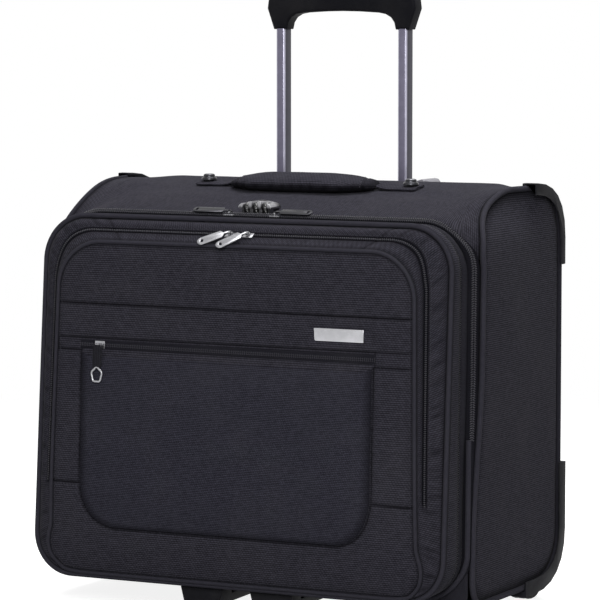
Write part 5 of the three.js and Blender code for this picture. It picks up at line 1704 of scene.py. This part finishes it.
def makeHardware():
    for side in sides:
        rounded("corner_guard_" + side, "plastic", 0.9)
        rounded("wheel_housing_" + side, "plastic", 0.9)
        rounded("front_foot_" + side, "plastic", 1.4, 3)
        rounded("axle_" + side, "dark", 0.3)
        rounded("outer_tube_" + side, "tubeDark", 0.25)
        rounded("middle_tube_" + side, "tubeDark", 0.25)
        rounded(
            "inner_tube_" + side, None, 0.18, 2, looks=["tube", "tubePaintedShade", "tubePaintedHighlight"],
            lookOf=faceLook,
        )
        rounded("main_slider_" + side, "bright", 0.3)
        rounded("main_pull_" + side, "dark", 0.3)
        rounded("pocket_slider_" + side, "bright", 0.3)
        rounded("pocket_pull_" + side, "bright", 0.32)
    rounded("front_slider", "bright", 0.3)
    rounded("base_tray", "plastic", 0.5)
    rounded("tube_base", "plastic", 0.8)
    rounded("handle_cover", "board", 0.4)
    rounded("handle_bezel", "bezel", 1.2, 3)
    rounded("pull_grip", "grip", 1.0, 3)
    rounded("grip_button", "dark", 0.9, 3)
    rounded("lock_body", "bright", 0.35)
    rounded("lock_button", "dark", 0.4)
    rounded("nameplate", "plate", 0.45, 3)


wheelSet = {"spokes": 6, "dish": 5.2, "spokeRise": 3.0}


def makeWheels():
    for side in sides:
        (x0, x1), (y0, y1), (z0, z1) = span("wheel_" + side)
        centre = ((x0 + x1) / 2, (y0 + y1) / 2, (z0 + z1) / 2)

        def section(angle):
            spoke = float(smoothstep(math.cos(wheelSet["spokes"] * angle), -0.2, 0.3))
            dish = wheelSet["dish"] + wheelSet["spokeRise"] * spoke
            ring = [
                (3.4, -9.4), (7.6, -9.4), (8.6, -8.6), (9.6, -dish), (15.2, -dish), (16.2, -8.8), (18.2, -9.6),
                (18.6, -9.6), (19.2, -9.9), (22.4, -10.9), (23.6, -10), (24.6, -8.2), (25, -6), (24.7, -2.2),
                (25, -1.8), (25, 0),
            ]
            return ring + [(r, -o) for r, o in ring[-2::-1]]
        turned(
            "road_wheel_" + side, section, centre, "x", 96, ["plastic", "rubber"], side + "_wheel",
            ("wheel_" + side,), "wheel_rubber", lookOf=lambda i, j: 1 if 8 <= j <= 21 else 0,
        )


def makeDials():
    for number in (1, 2, 3):
        node = "lock_dial_" + str(number)
        (x0, x1), (y0, y1), (z0, z1) = span(node)
        centre = ((x0 + x1) / 2, (y0 + y1) / 2, (z0 + z1) / 2)
        half, radius = (x1 - x0) / 2, 5.2

        def section(angle):
            rib = radius - 0.15 + 0.28 * (math.cos(10 * angle) > 0.72) * 0.4
            left = [
                (1.35, -half), (radius - 0.7, -half), (rib, -half + 0.6), (rib, -half + 1.5),
                (radius - 0.25, -half + 1.7),
            ]
            return left + [(r, -o) for r, o in left[::-1]]
        turned(
            "dial_" + str(number), section, centre, "x", 80, "dial", "dial_" + str(number), (node,), "lining_board",
            sharp=30,
        )
        vertices, faces = [], []
        for digit in range(10):
            words = bpy.data.curves.new("digit", "FONT")
            words.body = str(digit)
            words.size = 3.0
            words.align_x, words.align_y = "CENTER", "CENTER"
            words.resolution_u = 2
            words.extrude = 0.12
            holder = addObject("digit", words)
            shape = evaluatedMesh(holder)
            bpy.data.objects.remove(holder)
            angle = 2 * math.pi * (digit + 0.5) / 10 + math.pi / 2
            turn = Matrix.Rotation(angle - math.pi / 2, 3, "X")
            start = len(vertices)
            for v in shape.vertices:
                vertices.append(tuple(turn @ Vector((v.co.x, v.co.y, radius - 0.22 + v.co.z)) + Vector(centre)))
            faces += [[start + i for i in p.vertices] for p in shape.polygons]
        makePiece(
            "dial_digits_" + str(number), vertices, faces, "digits", "dial_" + str(number), (),
            sharp=30,
        )


# The eye's section is (along the bar, radius)
pullSet = {
    "strapLength": 22, "strapHalf": 4.6, "ringHalf": 5.2, "ringThick": 1.0,
    "eye": ((-0.9, 1.15), (0.9, 1.15), (1.0, 1.45), (0.9, 1.75), (-0.9, 1.75), (-1.0, 1.45)),
}


def makeFrontPull():
    (x0, x1), (y0, y1), (z0, z1) = span("front_pull")
    x = (x0 + x1) / 2
    base = y0 + 0.9

    def depth(z):
        change = np.interp(z, coverHeights, coverDepths) - np.interp((z0 + z1) / 2, coverHeights, coverDepths)
        return float(base + change)

    rows = []
    high = z1 - 1.4
    low = high - pullSet["strapLength"]
    for z in np.linspace(high, low, 20):
        taper = 0.62 + 0.38 * smoothstep(high - z, 0, 4)
        half = pullSet["strapHalf"] * taper * (1 - 0.3 * smoothstep(z, low + 3, low))
        y = depth(z)
        left = [(x - half, y, z), (x - half, y - 0.5, z), (x - half + 0.6, y - 1.1, z), (x - 1.5, y - 1.4, z)]
        right = [(x + 1.5, y - 1.4, z), (x + half - 0.6, y - 1.1, z), (x + half, y - 0.5, z), (x + half, y, z)]
        rows.append(left + right)
    skin("slit_pull_strap", rows, "webbing", "slit_pull", ("front_pull",), closedAlong=False, slot="webbing")
    middle = low - 5.6
    loop = []
    for k in range(40):
        angle = 2 * math.pi * k / 40 + math.pi / 2
        r = pullSet["ringHalf"] * (1 + 0.07 * math.cos(5 * (angle - math.pi / 2)))
        loop.append((x + r * math.cos(angle), middle + 1.25 * r * math.sin(angle)))
    points, normals = withNormals(loop)
    rows = []
    for (a, c), (nx, nz) in zip(points, normals):
        section = cordSection(pullSet["ringThick"], 0, 0, 10)
        rows.append([(a + nx * o, depth(c) + y - 0.6, c + nz * o) for o, y in section])
    skin("slit_pull_ring", rows, "bright", "slit_pull", (), slot="bright_metal")
    # The eye goes round the slider's bar
    pivot = next(j["pos_m"] for j in frame["record"]["behaviour"]["joints"] if j["name"] == "slit_pull_lift")
    py, pz = (pivot[1] - rimShift) / mm, pivot[2] / mm
    rows = []
    for t in np.linspace(0, 2 * math.pi, 25)[:-1]:
        out = np.array([0, math.cos(t), math.sin(t)])
        rows.append([np.array([x + w, py, pz]) + out * r for w, r in pullSet["eye"]])
    skin("slit_pull_eye", rows, "bright", "slit_pull", (), slot="bright_metal")


makeCarryHandle()
makeHardware()
makeWheels()
makeDials()
makeFrontPull()
print("handles, lock, zipper pulls and wheels made")
